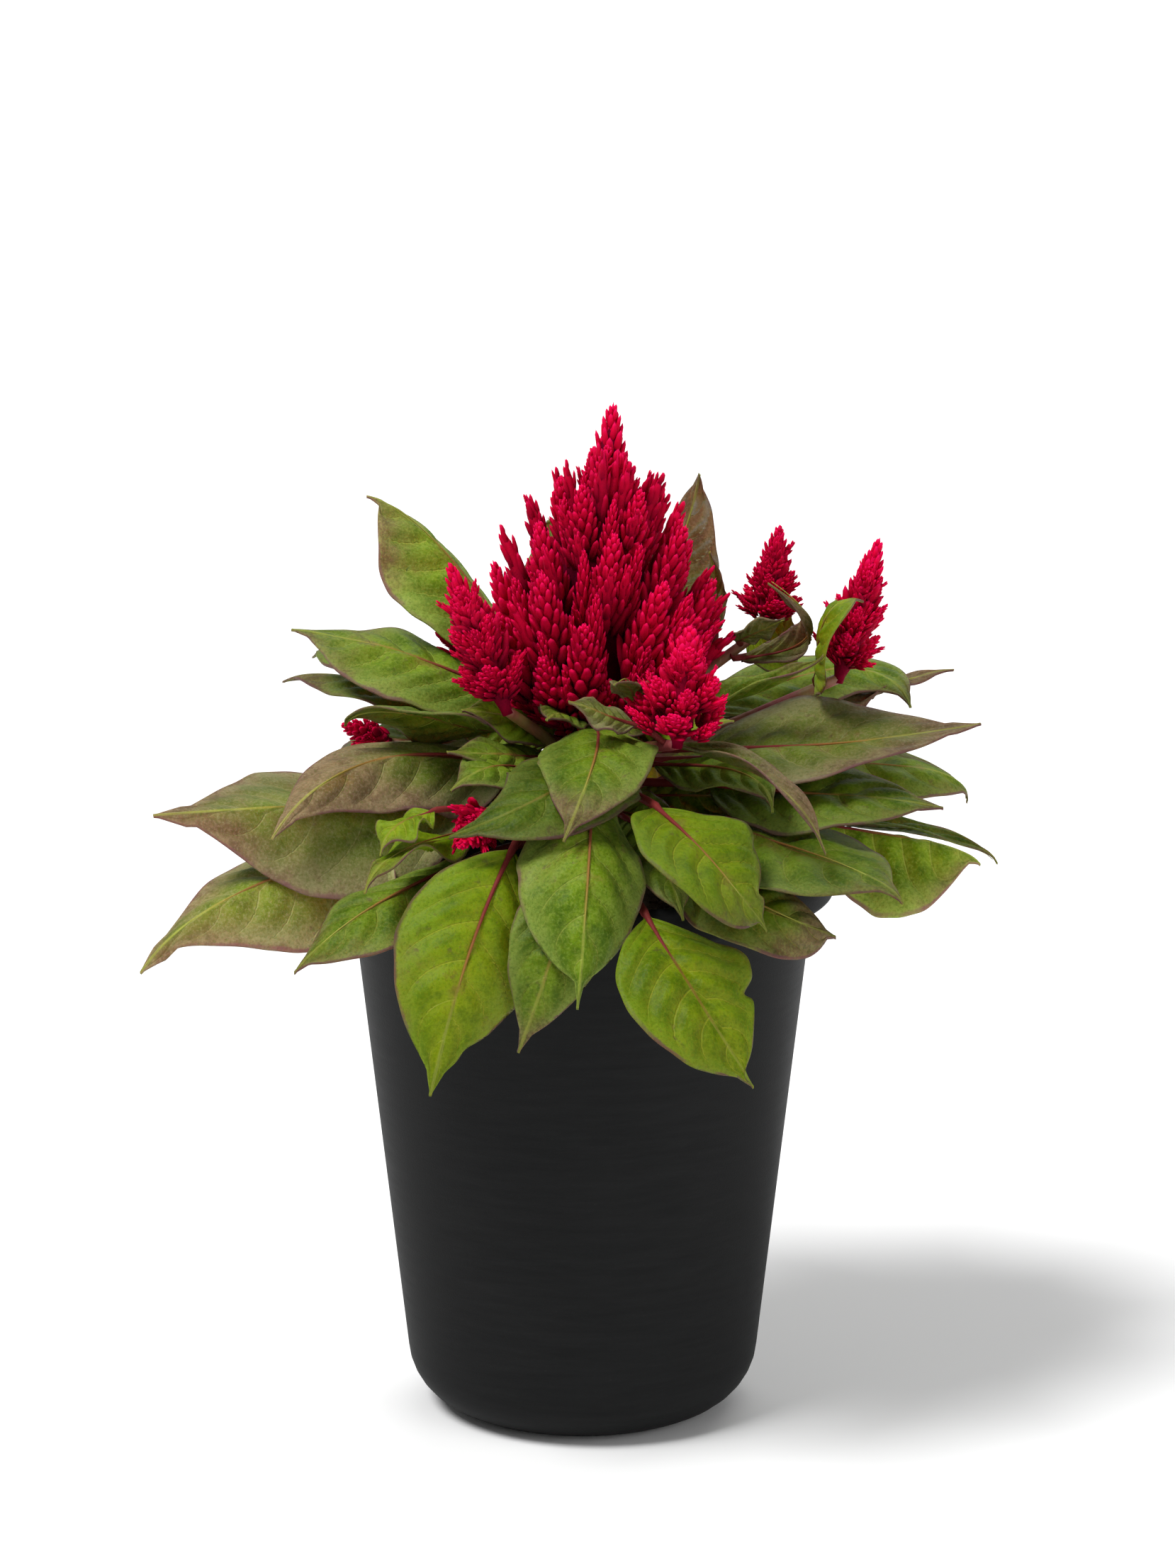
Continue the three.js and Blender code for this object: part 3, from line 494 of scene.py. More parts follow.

# A leaf grows from a stem at a height, passes through mid and ends at tip, in millimetres. Stalk is the
# share of its length without a blade, roll turns the blade about its rib, fold lifts or drops each half,
# belly and taper shape the outline, spur is the share of its drawn-out point, and flush is how far bronze
# covers the green. Cup bends both edges up or down, curl winds the tip under by its degrees, and wave is how
# far the edges go up and down. A notch has its edge, -1 for the left or 1 for the right as seen from the stem,
# its share of the length and its depth
# Shade is painted light and shade: a factor that makes a whole leaf's colour brighter or darker as light falls
# on it
leaves = {
    "frontLeftLow": {"at": 149, "mid": (-17, -57, 142), "tip": (-33, -74, 95), "width": 33, "stalk": 0.47,
        "roll": (14, 35), "fold": (-19, -5), "cup": -0.1, "belly": 0.85, "taper": 1.2, "tone": "lime",
        "shade": 0.88, "flush": 0.22, "tipFlush": 0.1, "notch": ((-1, 0.8, 1.8),)},
    "frontCentreLow": {"at": 151, "mid": (2, -59, 151), "tip": (-1, -76, 115), "width": 31, "stalk": 0.35,
        "roll": (12, 16), "fold": (-22, -25), "cup": -0.2, "belly": 0.7, "taper": 0.7, "shade": 1.2,
        "flush": 0.2, "tipFlush": 0.1, "spur": 0.1},
    "frontRightLow": {"at": 140, "mid": (16, -64, 129), "tip": (37, -78, 98), "width": 32, "stalk": 0.55,
        "roll": (-2, -3), "fold": (0, 7), "cup": -0.1, "belly": 1, "taper": 1.25, "tone": "lime",
        "shade": 0.84, "notch": ((-1, 0.6, 3.2), (-1, 0.93, 2)), "tipFlush": 0.2},
    "frontGap": {"at": 135, "mid": (-3, -63, 135), "tip": (-14, -64, 102), "width": 21, "stalk": 0.42,
        "roll": (6, 6), "fold": (-11, 1), "belly": 1, "taper": 1.3},
    "frontRightHook": {"at": 148, "mid": (19.5, -57, 152.5), "tip": (40, -67, 130), "width": 31,
        "stalk": 0.54, "roll": (-4, 4), "fold": (-2, 2), "belly": 0.7, "taper": 0.85, "tone": "lime",
        "shade": 0.76, "flush": 0.2, "tipFlush": 0.3, "notch": ((-1, 0.82, 4), (1, 0.93, 1.2))},
    "centreTop": {"at": 162, "mid": (3, -44, 165), "tip": (-4, -67, 150), "width": 27, "roll": (-10, 8),
        "belly": 0.55, "taper": 1, "flush": 0.15, "tipFlush": 0.75},
    "centreLeft": {"at": 159, "mid": (-4, -50, 159), "tip": (-29, -59, 149), "width": 30, "roll": (5, 19),
        "fold": (-10, -10), "belly": 0.6, "taper": 1.2, "shade": 0.65},
    "centreSmall": {"on": "frontRightShoot", "at": 164, "mid": (10, -37, 170), "tip": (-3, -44, 176),
        "width": 9, "stalk": 0.3, "roll": (23, 22), "tone": "bronze"},
    "centreBehind": {"on": "frontRightShoot", "at": 161, "mid": (11, -29, 177), "tip": (7, -40, 179),
        "width": 9, "stalk": 0.3, "roll": (19, 19), "tone": "bronze"},
    "leftHigh": {"at": 156, "mid": (-29, 18, 196), "tip": (-50, 23, 211), "width": 35, "stalk": 0.29,
        "roll": (17, 7), "fold": (-19, -46), "belly": 0.7, "taper": 0.65, "shade": 1.6, "flush": 0.3},
    "leftUpper": {"at": 159, "mid": (-34, 2, 176), "tip": (-67, 10, 182), "width": 32, "stalk": 0.24,
        "roll": (17, 16), "fold": (-18, -12), "belly": 0.75, "taper": 1.05, "shade": 1.25, "flush": 0.2},
    "leftThin": {"at": 150, "mid": (-45, 9, 169), "tip": (-70, 24, 167), "width": 24, "stalk": 0.39,
        "roll": (6, 9), "fold": (-9, -36), "belly": 0.85, "taper": 1.4, "flush": 0.4},
    "leftMid": {"at": 157, "mid": (-40, -20, 169), "tip": (-54, -20, 168), "width": 25, "stalk": 0.3,
        "roll": (-6, -3), "curl": 20, "fold": (9, -25), "belly": 0.9, "taper": 1.2},
    "leftBronze": {"at": 148, "mid": (-43, -26, 160), "tip": (-68, -52, 147), "width": 30, "stalk": 0.22,
        "roll": (32, 30), "fold": (-25, -33), "belly": 0.4, "tone": "bronze", "shade": 1.5, "flush": 0.8,
        "tipFlush": 0.5},
    "leftInner": {"on": "frontLowShoot", "at": 150, "mid": (-18, -34, 160), "tip": (-29, -44, 156),
        "width": 18, "roll": (23, 19)},
    "leftFar": {"at": 146, "mid": (-40, -26, 150), "tip": (-94, -51, 152), "width": 46, "stalk": 0.26,
        "roll": (15, 42), "fold": (-31, -23), "belly": 0.95, "taper": 1.5, "tone": "bronze", "shade": 1.5,
        "flush": 0.42},
    "leftFarLow": {"at": 141, "mid": (-64, -42, 138), "tip": (-97, -57, 118), "width": 43, "stalk": 0.45,
        "roll": (17, 23), "fold": (-49, -25), "belly": 0.4, "taper": 1.5, "tone": "bronze", "shade": 1.7,
        "flush": 0.34},
    "leftLow": {"at": 137, "mid": (-39, -52, 136), "tip": (-63, -61, 119), "width": 26, "stalk": 0.42,
        "roll": (22, 31), "fold": (0, -38), "belly": 0.9, "taper": 1.1, "flush": 0.15},
    "leftRuffle": {"at": 139, "mid": (-34, -47, 146), "tip": (-47, -69, 139), "width": 14, "stalk": 0.3,
        "roll": (1, 0), "wave": 2, "waves": 2.5, "tone": "lime"},
    "leftSprig": {"on": "frontLowShoot", "at": 155, "mid": (-38, -54, 152), "tip": (-44, -60, 145),
        "width": 12, "stalk": 0.4, "roll": (-1, 0), "wave": 1.5, "tone": "lime"},
    "rightTop": {"at": 156, "mid": (58, -15, 161), "tip": (90, -15, 165), "width": 36, "stalk": 0.27,
        "roll": (-25, -22), "fold": (0, 8), "belly": 0.7, "taper": 1.4, "tone": "bronze", "flush": 0.4,
        "tipFlush": 0.5},
    "rightRedRib": {"at": 158, "mid": (36, -46, 162), "tip": (53, -58, 145), "width": 10, "stalk": 0.21,
        "roll": (-8, -8), "fold": (5, 35), "belly": 0.85, "taper": 0.9, "tone": "bronze", "flush": 0.5},
    "rightInner": {"at": 151, "mid": (32, -28, 158), "tip": (42, -43, 151), "width": 16, "stalk": 0.3,
        "roll": (-18, -20)},
    "rightCurl": {"at": 153, "mid": (69, -1, 153), "tip": (92, 8, 145), "width": 27, "stalk": 0.36,
        "roll": (-22, -17), "fold": (-18, -21), "curl": 25, "taper": 1.25, "shade": 1.15},
    "rightDark": {"at": 149, "mid": (51, -22, 151), "tip": (81, -26, 148), "width": 31, "stalk": 0.34,
        "roll": (-17, -18), "fold": (-1, -7), "belly": 0.75, "taper": 1.25, "shade": 0.8},
    "rightFarLow": {"at": 143, "mid": (67, -8, 138.5), "tip": (91, -9, 131), "width": 42, "stalk": 0.52,
        "roll": (-24, -38), "fold": (-58, -16), "belly": 0.95, "taper": 0.85, "shade": 2},
    "rightTail": {"at": 147, "mid": (74, 9, 135), "tip": (96, 7, 127.5), "width": 12, "stalk": 0.4,
        "roll": (-9, -11), "fold": (20, 20)},
    "rightLow": {"at": 146, "mid": (51, -43, 142), "tip": (70, -58, 134), "width": 41, "stalk": 0.28,
        "roll": (-8, -15), "belly": 1.05, "fold": (-17, -4), "shade": 0.8},
    "rightRusty": {"at": 142, "mid": (32, -50, 135.8), "tip": (56, -49, 124), "width": 25, "stalk": 0.42,
        "roll": (0, -18), "taper": 0.8, "fold": (-16, -15), "tipFlush": 0.9},
    "rightShade": {"at": 144, "mid": (14, -38, 144), "tip": (22, -61, 131), "width": 18, "stalk": 0.4},
    "rightTwist": {"on": "rightOuterShoot", "at": 156, "mid": (67, 26, 165), "tip": (87, 28, 169),
        "width": 12, "stalk": 0.3, "wave": 1.5, "tone": "bronze", "flush": 0.8},
    "rightBehind": {"at": 155, "mid": (56, 27, 169), "tip": (76, 14, 163), "width": 24, "stalk": 0.3,
        "roll": (-16, -17)},
    "rightNeedle": {"at": 159, "mid": (42, -14, 174), "tip": (54, -21, 182), "width": 9, "stalk": 0.2,
        "roll": (-19, -20), "fold": (35, 35)},
    "rightUpright": {"on": "rightOuterShoot", "at": 169, "mid": (54, -11, 188), "tip": (63, -7, 194),
        "width": 22, "stalk": 0.05, "roll": (-90, -90), "curl": 30, "tone": "lime"},
    "rightHookUp": {"on": "rightInnerShoot", "at": 177, "mid": (51, -2, 183), "tip": (42, -8, 196),
        "width": 8, "stalk": 0.05, "roll": (-62, -60), "fold": (35, 35), "tone": "bronze", "flush": 0.7},
    "rightSmallDark": {"on": "rightInnerShoot", "at": 179, "mid": (37, -1, 183), "tip": (46, -3, 187),
        "width": 9, "stalk": 0.2, "roll": (-19, -13), "tone": "bronze"},
    "rightPin": {"on": "rightInnerShoot", "at": 175, "mid": (31, 8, 189), "tip": (29, 4, 201), "width": 5,
        "stalk": 0.2, "roll": (-20, -20), "fold": (30, 30), "tone": "bronze"},
    "rightPale": {"on": "rightInnerShoot", "at": 177, "mid": (43, 10, 178), "tip": (48, 12, 185),
        "width": 15, "stalk": 0.2, "roll": (-40, -40), "tone": "lime"},
    "backRight": {"on": "backShoot", "at": 164, "mid": (23, 31, 200), "tip": (27, 30, 215), "width": 23,
        "stalk": 0.28, "roll": (2, 4), "fold": (-15, -60), "belly": 0.7, "taper": 1.2, "tone": "bronze",
        "flush": 0.8},
    "backLeft": {"at": 153, "mid": (-41, 32, 172), "tip": (-65, 59, 166), "width": 34, "stalk": 0.28},
    "backMid": {"at": 152, "mid": (-7, 48, 165), "tip": (-14, 85, 148), "width": 34, "stalk": 0.28,
        "tone": "bronze"},
    "backRightLow": {"at": 146, "mid": (34, 45, 162), "tip": (58, 70, 145), "width": 34, "stalk": 0.28},
    "backLeftLow": {"at": 142, "mid": (-39, 49, 154), "tip": (-62, 69, 129), "width": 32, "stalk": 0.3},
    "backDrop": {"at": 141, "mid": (14, 52, 151), "tip": (20, 68, 115), "width": 32, "stalk": 0.32,
        "tone": "lime"},
    "backHigh": {"at": 156, "mid": (-6, 51, 190), "tip": (-8, 57, 199), "width": 25, "stalk": 0.28},
    "backSide": {"at": 139, "mid": (50, 31, 152), "tip": (88, 45, 140), "width": 32, "stalk": 0.3,
        "tone": "bronze"},
}
leafDefaults = {"on": "main", "tone": "green", "roll": (0, 0), "fold": (-12, -12), "cup": 0, "curl": 0,
                "wave": 0.6, "waves": 2, "belly": 0.8, "taper": 1.15, "stalk": 0.25, "flush": 0.1,
                "tipFlush": 0.4, "spur": 0.06, "shade": 1, "notch": ()}
# Young leaves that fill the middle, where the shoots part from the main stem
youngLeaves = {
    "youngOne": {"at": 158, "mid": (-12, -14, 166), "tip": (-27, -24, 170), "width": 15, "roll": (35, 40),
        "tone": "lime"},
    "youngTwo": {"at": 154, "mid": (-16, -24, 160), "tip": (-30, -36, 163), "width": 14, "roll": (30, 35)},
    "youngThree": {"at": 160, "mid": (8, -16, 166), "tip": (16, -30, 166), "width": 13,
        "roll": (-20, -20)},
    "youngFour": {"at": 157, "mid": (17, -14, 164), "tip": (34, -22, 167), "width": 15, "roll": (-35, -35),
        "tone": "lime"},
    "youngFive": {"at": 160, "mid": (-3, -17, 168), "tip": (-8, -30, 169), "width": 13, "roll": (20, 20)},
    "youngSix": {"at": 156, "mid": (16, 4, 170), "tip": (32, 6, 180), "width": 14, "roll": (-45, -40)},
    "youngSeven": {"at": 152, "mid": (-14, -2, 160), "tip": (-31, -4, 163), "width": 17, "roll": (45, 45)},
    "youngEight": {"at": 151, "mid": (12, 16, 162), "tip": (20, 34, 166), "width": 13, "tone": "lime"},
    "youngNine": {"at": 151, "mid": (-8, 16, 162), "tip": (-14, 34, 168), "width": 13},
    "youngTen": {"at": 144, "mid": (20, -12, 148), "tip": (40, -17, 148), "width": 15, "roll": (-45, -45)},
    "youngEleven": {"at": 144, "mid": (-18, -9, 152), "tip": (-38, -13, 154), "width": 16,
        "roll": (45, 45)},
    "youngTwelve": {"at": 142, "mid": (9, -20, 146), "tip": (22, -34, 146), "width": 15,
        "roll": (-35, -35)},
}
bladeBuild = {"rows": 64, "columns": 20, "thickness": 0.45, "fullness": 0.86, "opening": 0.12,
              "spurWidth": 0.13, "notchLength": 0.045, "crimp": 0.3, "crimpTurns": (23, 41), "quilt": 1.5,
              "groove": 0.6, "grooveWidth": 1.6, "waveGain": 1.6, "sway": 1.6, "edgeFlush": 0.22,
              "petiole": 1.0, "smallLeaf": 20, "smallPetiole": 0.72, "standOff": 0.3, "rootTuck": 1.6,
              "ribReach": 0.985, "ribPoint": 0.08, "tubeSides": 8, "tubeSteps": 44}
random.seed(7)


def bladeOutline(share, belly, taper):
    peak = belly / (belly + taper)
    return share ** belly * (1 - share) ** taper / (peak ** belly * (1 - peak) ** taper)


# The leaf's middle line, in even steps, from its root by way of mid to its tip
def leafSpine(root, mid, tip, steps=60, fineSteps=400):
    control = mid * 2 - root * 0.5 - tip * 0.5
    fine = []
    for step in range(fineSteps + 1):
        t = step / fineSteps
        fine.append(root * (1 - t) ** 2 + control * (2 * t * (1 - t)) + tip * t * t)
    travelled = [0]
    for a, b in zip(fine, fine[1:]):
        travelled.append(travelled[-1] + (b - a).length)
    spine, index = [], 0
    for step in range(steps + 1):
        goal = travelled[-1] * step / steps
        while index < fineSteps - 1 and travelled[index + 1] < goal:
            index += 1
        share = (goal - travelled[index]) / (travelled[index + 1] - travelled[index])
        spine.append(fine[index].lerp(fine[index + 1], share))
    return spine


def leafRoot(leaf, petiole):
    point, along, radius = stemPlace(leaf["on"], leaf["at"])
    mid, tip = Vector(leaf["mid"]), Vector(leaf["tip"])
    outward = mid - point
    outward = (outward - along * outward.dot(along)).normalized()
    start = (mid * 2 - point * 0.5 - tip * 0.5 - point).normalized()
    return point + outward * (radius + bladeBuild["standOff"] + petiole * abs(start.dot(along))), outward


# At each step along the spine: the point, and the directions along the leaf, to its side and off its face
def leafFrames(leaf, spine):
    steps = len(spine) - 1
    stride = (spine[1] - spine[0]).length
    frames, across = [], None
    for step in range(steps + 1):
        share = step / steps
        tangent = (spine[min(step + 1, steps)] - spine[max(step - 1, 0)]).normalized()
        across = across or tangent.cross(Vector((0, 0, 1)))
        across = (across - tangent * across.dot(tangent)).normalized()
        side = turned(across, across.cross(tangent), math.radians(lerp(*leaf["roll"], share)))
        curl = math.radians(leaf["curl"]) * max(0, (share - 0.7) / 0.3) ** 1.5
        along = turned(tangent, side.cross(tangent), -curl)
        point = frames[-1][0] + (frames[-1][1] + along) * stride / 2 if frames else spine[0]
        frames.append((point, along, side, side.cross(along)))
    return frames


def frameAt(frames, share):
    place = min(max(share, 0), 0.9999) * (len(frames) - 1)
    low = int(place)
    return [a.lerp(b, place - low) for a, b in zip(frames[low], frames[low + 1])]


def markVert(vert, layers, *vectors):
    for layer, vector in zip(layers, vectors):
        vert[layer] = vector


# The blade: folded about its rib, cupped, waved, quilted between its side veins, notched and crimped
def addBlade(bm, layers, leaf, frames, length, petiole):
    build = bladeBuild
    phase = [random.uniform(0, 6.28) for turn in range(4)]
    bmesh.ops.create_grid(bm, x_segments=build["columns"], y_segments=build["rows"], size=1)
    for vert in bm.verts:
        column, share = vert.co.x, (vert.co.y + 1) / 2
        isRight, reach = column >= 0, abs(column)
        centre, along, side, normal = frameAt(frames, lerp(leaf["stalk"], 1, share))
        spur = leaf["spur"]
        outline = bladeOutline(min(1, share / (1 - spur)), leaf["belly"], leaf["taper"] * build["fullness"])
        point = build["spurWidth"] * smooth(share, 0.5, 0.8) * min(1, (1 - share) / (spur * 1.6))
        outline = max(outline, point)
        opened = smooth(share, 0, build["opening"])
        half = max(leaf["width"] / 2 * outline, lerp(petiole * 0.8, 0.3, min(1, share * 2)))
        for edge, place, depth in leaf["notch"]:
            if isRight == (edge > 0):
                half -= depth * math.exp(-((share - place) / build["notchLength"]) ** 2) * reach
        slow, fast = (turns * share for turns in build["crimpTurns"])
        crimp = math.sin(phase[0] + slow + 1.7 * isRight) * 0.6 + math.sin(phase[1] + fast) * 0.4
        half += build["crimp"] * crimp * opened * outline * reach ** 3
        out = half * reach

        fold = math.radians(leaf["fold"][isRight]) * opened
        ripple = math.sin(2 * math.pi * (leaf["waves"] * share + (0 if isRight else 0.5)))
        lift = half * (reach * math.sin(fold) + leaf["cup"] * opened * column ** 2)
        lift += leaf["wave"] * build["waveGain"] * ripple * column ** 2 * outline
        veinShare = share - leafLook["veinStart"] * reach - leafLook["veinSweep"] * reach ** 2
        turn = leafLook["veins"] * veinShare + phase[3] + (leafLook["veinShift"] if isRight else 0)
        swell = abs(math.sin(math.pi * turn)) ** 0.8
        lift += build["quilt"] * (swell - 0.6) * outline * (1 - reach ** 4) * min(1, out / 3)
        lift -= build["groove"] * math.exp(-(out / build["grooveWidth"]) ** 2) * outline
        lift += build["sway"] * noise.noise(centre * 0.05 + Vector((out * 0.12, phase[2], 0))) * outline
        vert.co = (centre + side * (half * column * math.cos(fold)) + normal * lift) * mm

        browning = leaf["flush"] * lerp(0.35, 1.1, smooth(share, 0.12, 0.6))
        browning += leaf["tipFlush"] * smooth(share, 0.5, 0.95) + build["edgeFlush"] * column ** 2
        # The vein layer also carries the leaf's shade, a painted light-and-shade factor
        blade, vein = (half * column, length * share, 0), (turn, length / leafLook["veins"], leaf["shade"])
        markVert(vert, layers, blade, vein, (share, reach, browning))
    bmesh.ops.solidify(bm, geom=bm.faces, thickness=build["thickness"] * mm)


# The petiole and the midrib: one tube that starts inside the root and sinks under the blade
def addRib(bm, layers, leaf, frames, length, petiole, outward):
    places, radii, shares = [], [], []
    steps = bladeBuild["tubeSteps"]
    for step in range(-1, steps + 1):
        station = bladeBuild["ribReach"] * step / steps
        point, along, side, normal = frameAt(frames, station)
        if step < 0:
            point = point - outward * bladeBuild["rootTuck"]
        share = max(0, (station - leaf["stalk"]) / (1 - leaf["stalk"]))
        radius = lerp(petiole, bladeBuild["ribPoint"], share ** 0.3)
        sink = lerp(-0.2 * radius, radius + 0.1, smooth(share, 0, 0.5))
        sink += bladeBuild["groove"] * 0.6 * smooth(share, 0, 0.1)
        places.append(placed((point - normal * sink) * mm, side, normal, -along))
        radii.append(radius * mm)
        shares.append(share)

    def mark(ring, step):
        for vert in ring:
            markVert(vert, layers, (0, length * shares[step], 1), (0, 8, 1), (shares[step], 0, 0))

    sweepTube(bm, places, radii, bladeBuild["tubeSides"], mark)


def makeLeaf(name):
    leaf = {**leafDefaults, **(leaves.get(name) or youngLeaves[name])}
    isSmall = leaf["width"] < bladeBuild["smallLeaf"]
    petiole = bladeBuild["petiole"] * (bladeBuild["smallPetiole"] if isSmall else 1)
    root, outward = leafRoot(leaf, petiole)
    spine = leafSpine(root, Vector(leaf["mid"]), Vector(leaf["tip"]))
    frames = leafFrames(leaf, spine)
    length = (spine[1] - spine[0]).length * (len(spine) - 1) * (1 - leaf["stalk"])
    bm = bmesh.new()
    layers = [bm.verts.layers.float_vector.new(kind) for kind in ("blade", "vein", "tint")]
    addBlade(bm, layers, leaf, frames, length, petiole)
    addRib(bm, layers, leaf, frames, length, petiole, outward)
    bmesh.ops.recalc_face_normals(bm, faces=bm.faces)
    stands = [name + "Leaf"] if name in leaves else []
    addPiece(name + "Blade", bm, "leaf_" + leaf["tone"], *stands)


for name in [*leaves, *youngLeaves]:
    makeLeaf(name)
print("leaves made:", len(leaves) + len(youngLeaves))

# A plume stands on its stem's end, with an axis to its tip and rows of spikes that reach out by spread
# Glow is painted light: it scales how bright a plume's colour runs, as if more or less light fell on it
plumes = {
    "mainPlume": {"on": "main", "tip": (7, 0, 236), "spread": 31, "spike": 4.6, "rows": "full", "glow": 0.9},
    "leftPlume": {"on": "leftShoot", "tip": (-30, -21, 203), "spread": 10, "spike": 2.7, "glow": 0.8,
        "swell": 1.3},
    "frontRightPlume": {"on": "frontRightShoot", "tip": (24, -38, 192), "spread": 13, "spike": 3,
        "glow": 1.3, "swell": 1.15},
    "rightInnerPlume": {"on": "rightInnerShoot", "tip": (45, 6, 207), "spread": 9, "spike": 2.3},
    "rightOuterPlume": {"on": "rightOuterShoot", "tip": (68, 6, 204), "spread": 11, "spike": 2.5,
        "glow": 1.2},
    "lowLeftPlume": {"on": "lowLeftShoot", "tip": (-55, -6, 163), "spread": 5, "spike": 2.2, "rows": "bud",
        "swell": 0.9},
    "frontLowPlume": {"on": "frontLowShoot", "tip": (-27, -54, 145), "spread": 5, "spike": 2.3,
        "rows": "bud", "swell": 2},
    "backLeftPlume": {"on": "backLeftShoot", "tip": (-34, 24, 188), "spread": 7, "spike": 2.4},
    "backPlume": {"on": "backShoot", "tip": (18, 42, 194), "spread": 8, "spike": 2.5},
}
plumeDefaults = {"rows": "side", "glow": 0.85, "swell": 1.1}
# Rows from the top down, as shares of the axis and of the spread, with each spike's lean in degrees
plumeRows = {
    "full": [
        {"height": 0.86, "reach": 0.2, "count": 3, "length": 0.2, "lean": 12},
        {"height": 0.76, "reach": 0.42, "count": 5, "length": 0.26, "lean": 18},
        {"height": 0.64, "reach": 0.68, "count": 6, "length": 0.34, "lean": 24},
        {"height": 0.5, "reach": 0.88, "count": 7, "length": 0.36, "lean": 32},
        {"height": 0.37, "reach": 1, "count": 7, "length": 0.32, "lean": 42},
        {"height": 0.23, "reach": 0.89, "count": 6, "length": 0.28, "lean": 56},
        {"height": 0.12, "reach": 0.58, "count": 4, "length": 0.2, "lean": 74},
    ],
    "side": [
        {"height": 0.82, "reach": 0.36, "count": 3, "length": 0.3, "lean": 20},
        {"height": 0.6, "reach": 0.78, "count": 3, "length": 0.34, "lean": 32},
        {"height": 0.34, "reach": 1, "count": 3, "length": 0.3, "lean": 48},
    ],
    "bud": [
        {"height": 0.6, "reach": 0.9, "count": 3, "length": 0.6, "lean": 40},
    ],
}
# Core and leader differ between the full plume and the slender ones
plumeKinds = {
    "full": {"core": 1, "coreRise": 0.1, "leaderFoot": 0.55, "leaderGirth": 1.6},
    "slender": {"core": 0.7, "coreRise": 0.45, "leaderFoot": 0.3, "leaderGirth": 1.5},
}
plumeBuild = {
    "spike": {"radius": 4.6, "length": 24, "sides": 8, "rings": 8, "core": 0.5, "seat": 0.4, "lobes": 54,
              "longest": 9.5, "shortest": 3.2, "widest": 1.35, "thinnest": 0.42, "lowLean": 23},
    "tongue": {"radius": 1.9, "length": 8, "sides": 8, "rings": 7, "core": 0.7, "seat": 0.5, "lobes": 9,
               "longest": 4.4, "shortest": 2.2, "widest": 0.8, "thinnest": 0.4, "lowLean": 20},
    "flame": {"radius": 4.6, "length": 24, "sides": 12, "rings": 10, "core": 0.6, "seat": 0.45, "lobes": 38,
              "longest": 10.5, "shortest": 3.6, "widest": 1.6, "thinnest": 0.5, "lowLean": 24},
    "goldenTurn": 2.39996, "lobeStart": 0.1, "lobeRun": 0.86, "lobeCrowding": 0.85, "lobeDepth": 0.7,
    "lobeSink": 0.6, "highLean": 8, "tipSize": 0.35, "tipGrowth": 4,
    "tonguesPerSpike": 2, "tongueRun": (0.1, 0.42), "tongueSeat": 0.45, "tongueLean": (12, 24),
    "fillers": 50, "fillerSize": (1.3, 1.8), "fillerDrop": 0.1, "fillerReach": 0.86, "fillerDepth": 7,
    "between": {"drop": (0.03, 0.075), "reach": (0.8, 0.92), "length": 0.95, "girth": (0.55, 0.75)},
    "waist": 0.52, "belly": 2.3, "point": 1.2,
    "flameBreadth": 1.35, "flameDepth": 0.75, "inset": 1.8, "broad": 1.36, "upright": 0.72,
    "core": [(0.1, 0.4), (0.35, 0.5), (0.6, 0.36), (0.8, 0.16), (0.92, 0.05)], "coreSides": 12,
    "coreShare": 0.72,
}


# The draws by which the solid spikes are placed too, so that each finer plume lies over its solid
def seededRandom(start):
    state = start
    while True:
        state = (state * 1664525 + 1013904223) % 4294967296
        yield state / 4294967296


# A spike's girth: a waist, a belly in its lower half and a drawn-out point
def spikeGirth(share):
    return (plumeBuild["waist"] + plumeBuild["belly"] * share) * (1 - share) ** plumeBuild["point"]


# A lobe is a small rounded spindle, one long, up the Z axis
def lobeMesh():
    bm = bmesh.new()
    layer = bm.verts.layers.float_vector.new("bloom")
    bmesh.ops.create_uvsphere(bm, u_segments=5, v_segments=4, radius=1)
    for vert in bm.verts:
        share = (vert.co.z + 1) / 2
        vert.co.xy *= 1 - 0.1 * smooth(share, 0.5, 0.9)
        vert.co.z = share
        vert[layer] = (0, share, 0)
    return meshFrom("lobe", bm)


# Adds a copy of a mesh by a matrix. Bloom holds rise, point and warmth, and tint turns old values into new
def addCopy(bm, mesh, matrix, tint):
    copy = mesh.copy()
    copy.transform(matrix)
    for item in copy.attributes["bloom"].data:
        item.vector = tint(item.vector)
    bm.from_mesh(copy)
    bpy.data.meshes.remove(copy)


def bloomBetween(low, high, warmth):
    return lambda bloom: (lerp(low, high, bloom.x), bloom.y, warmth)


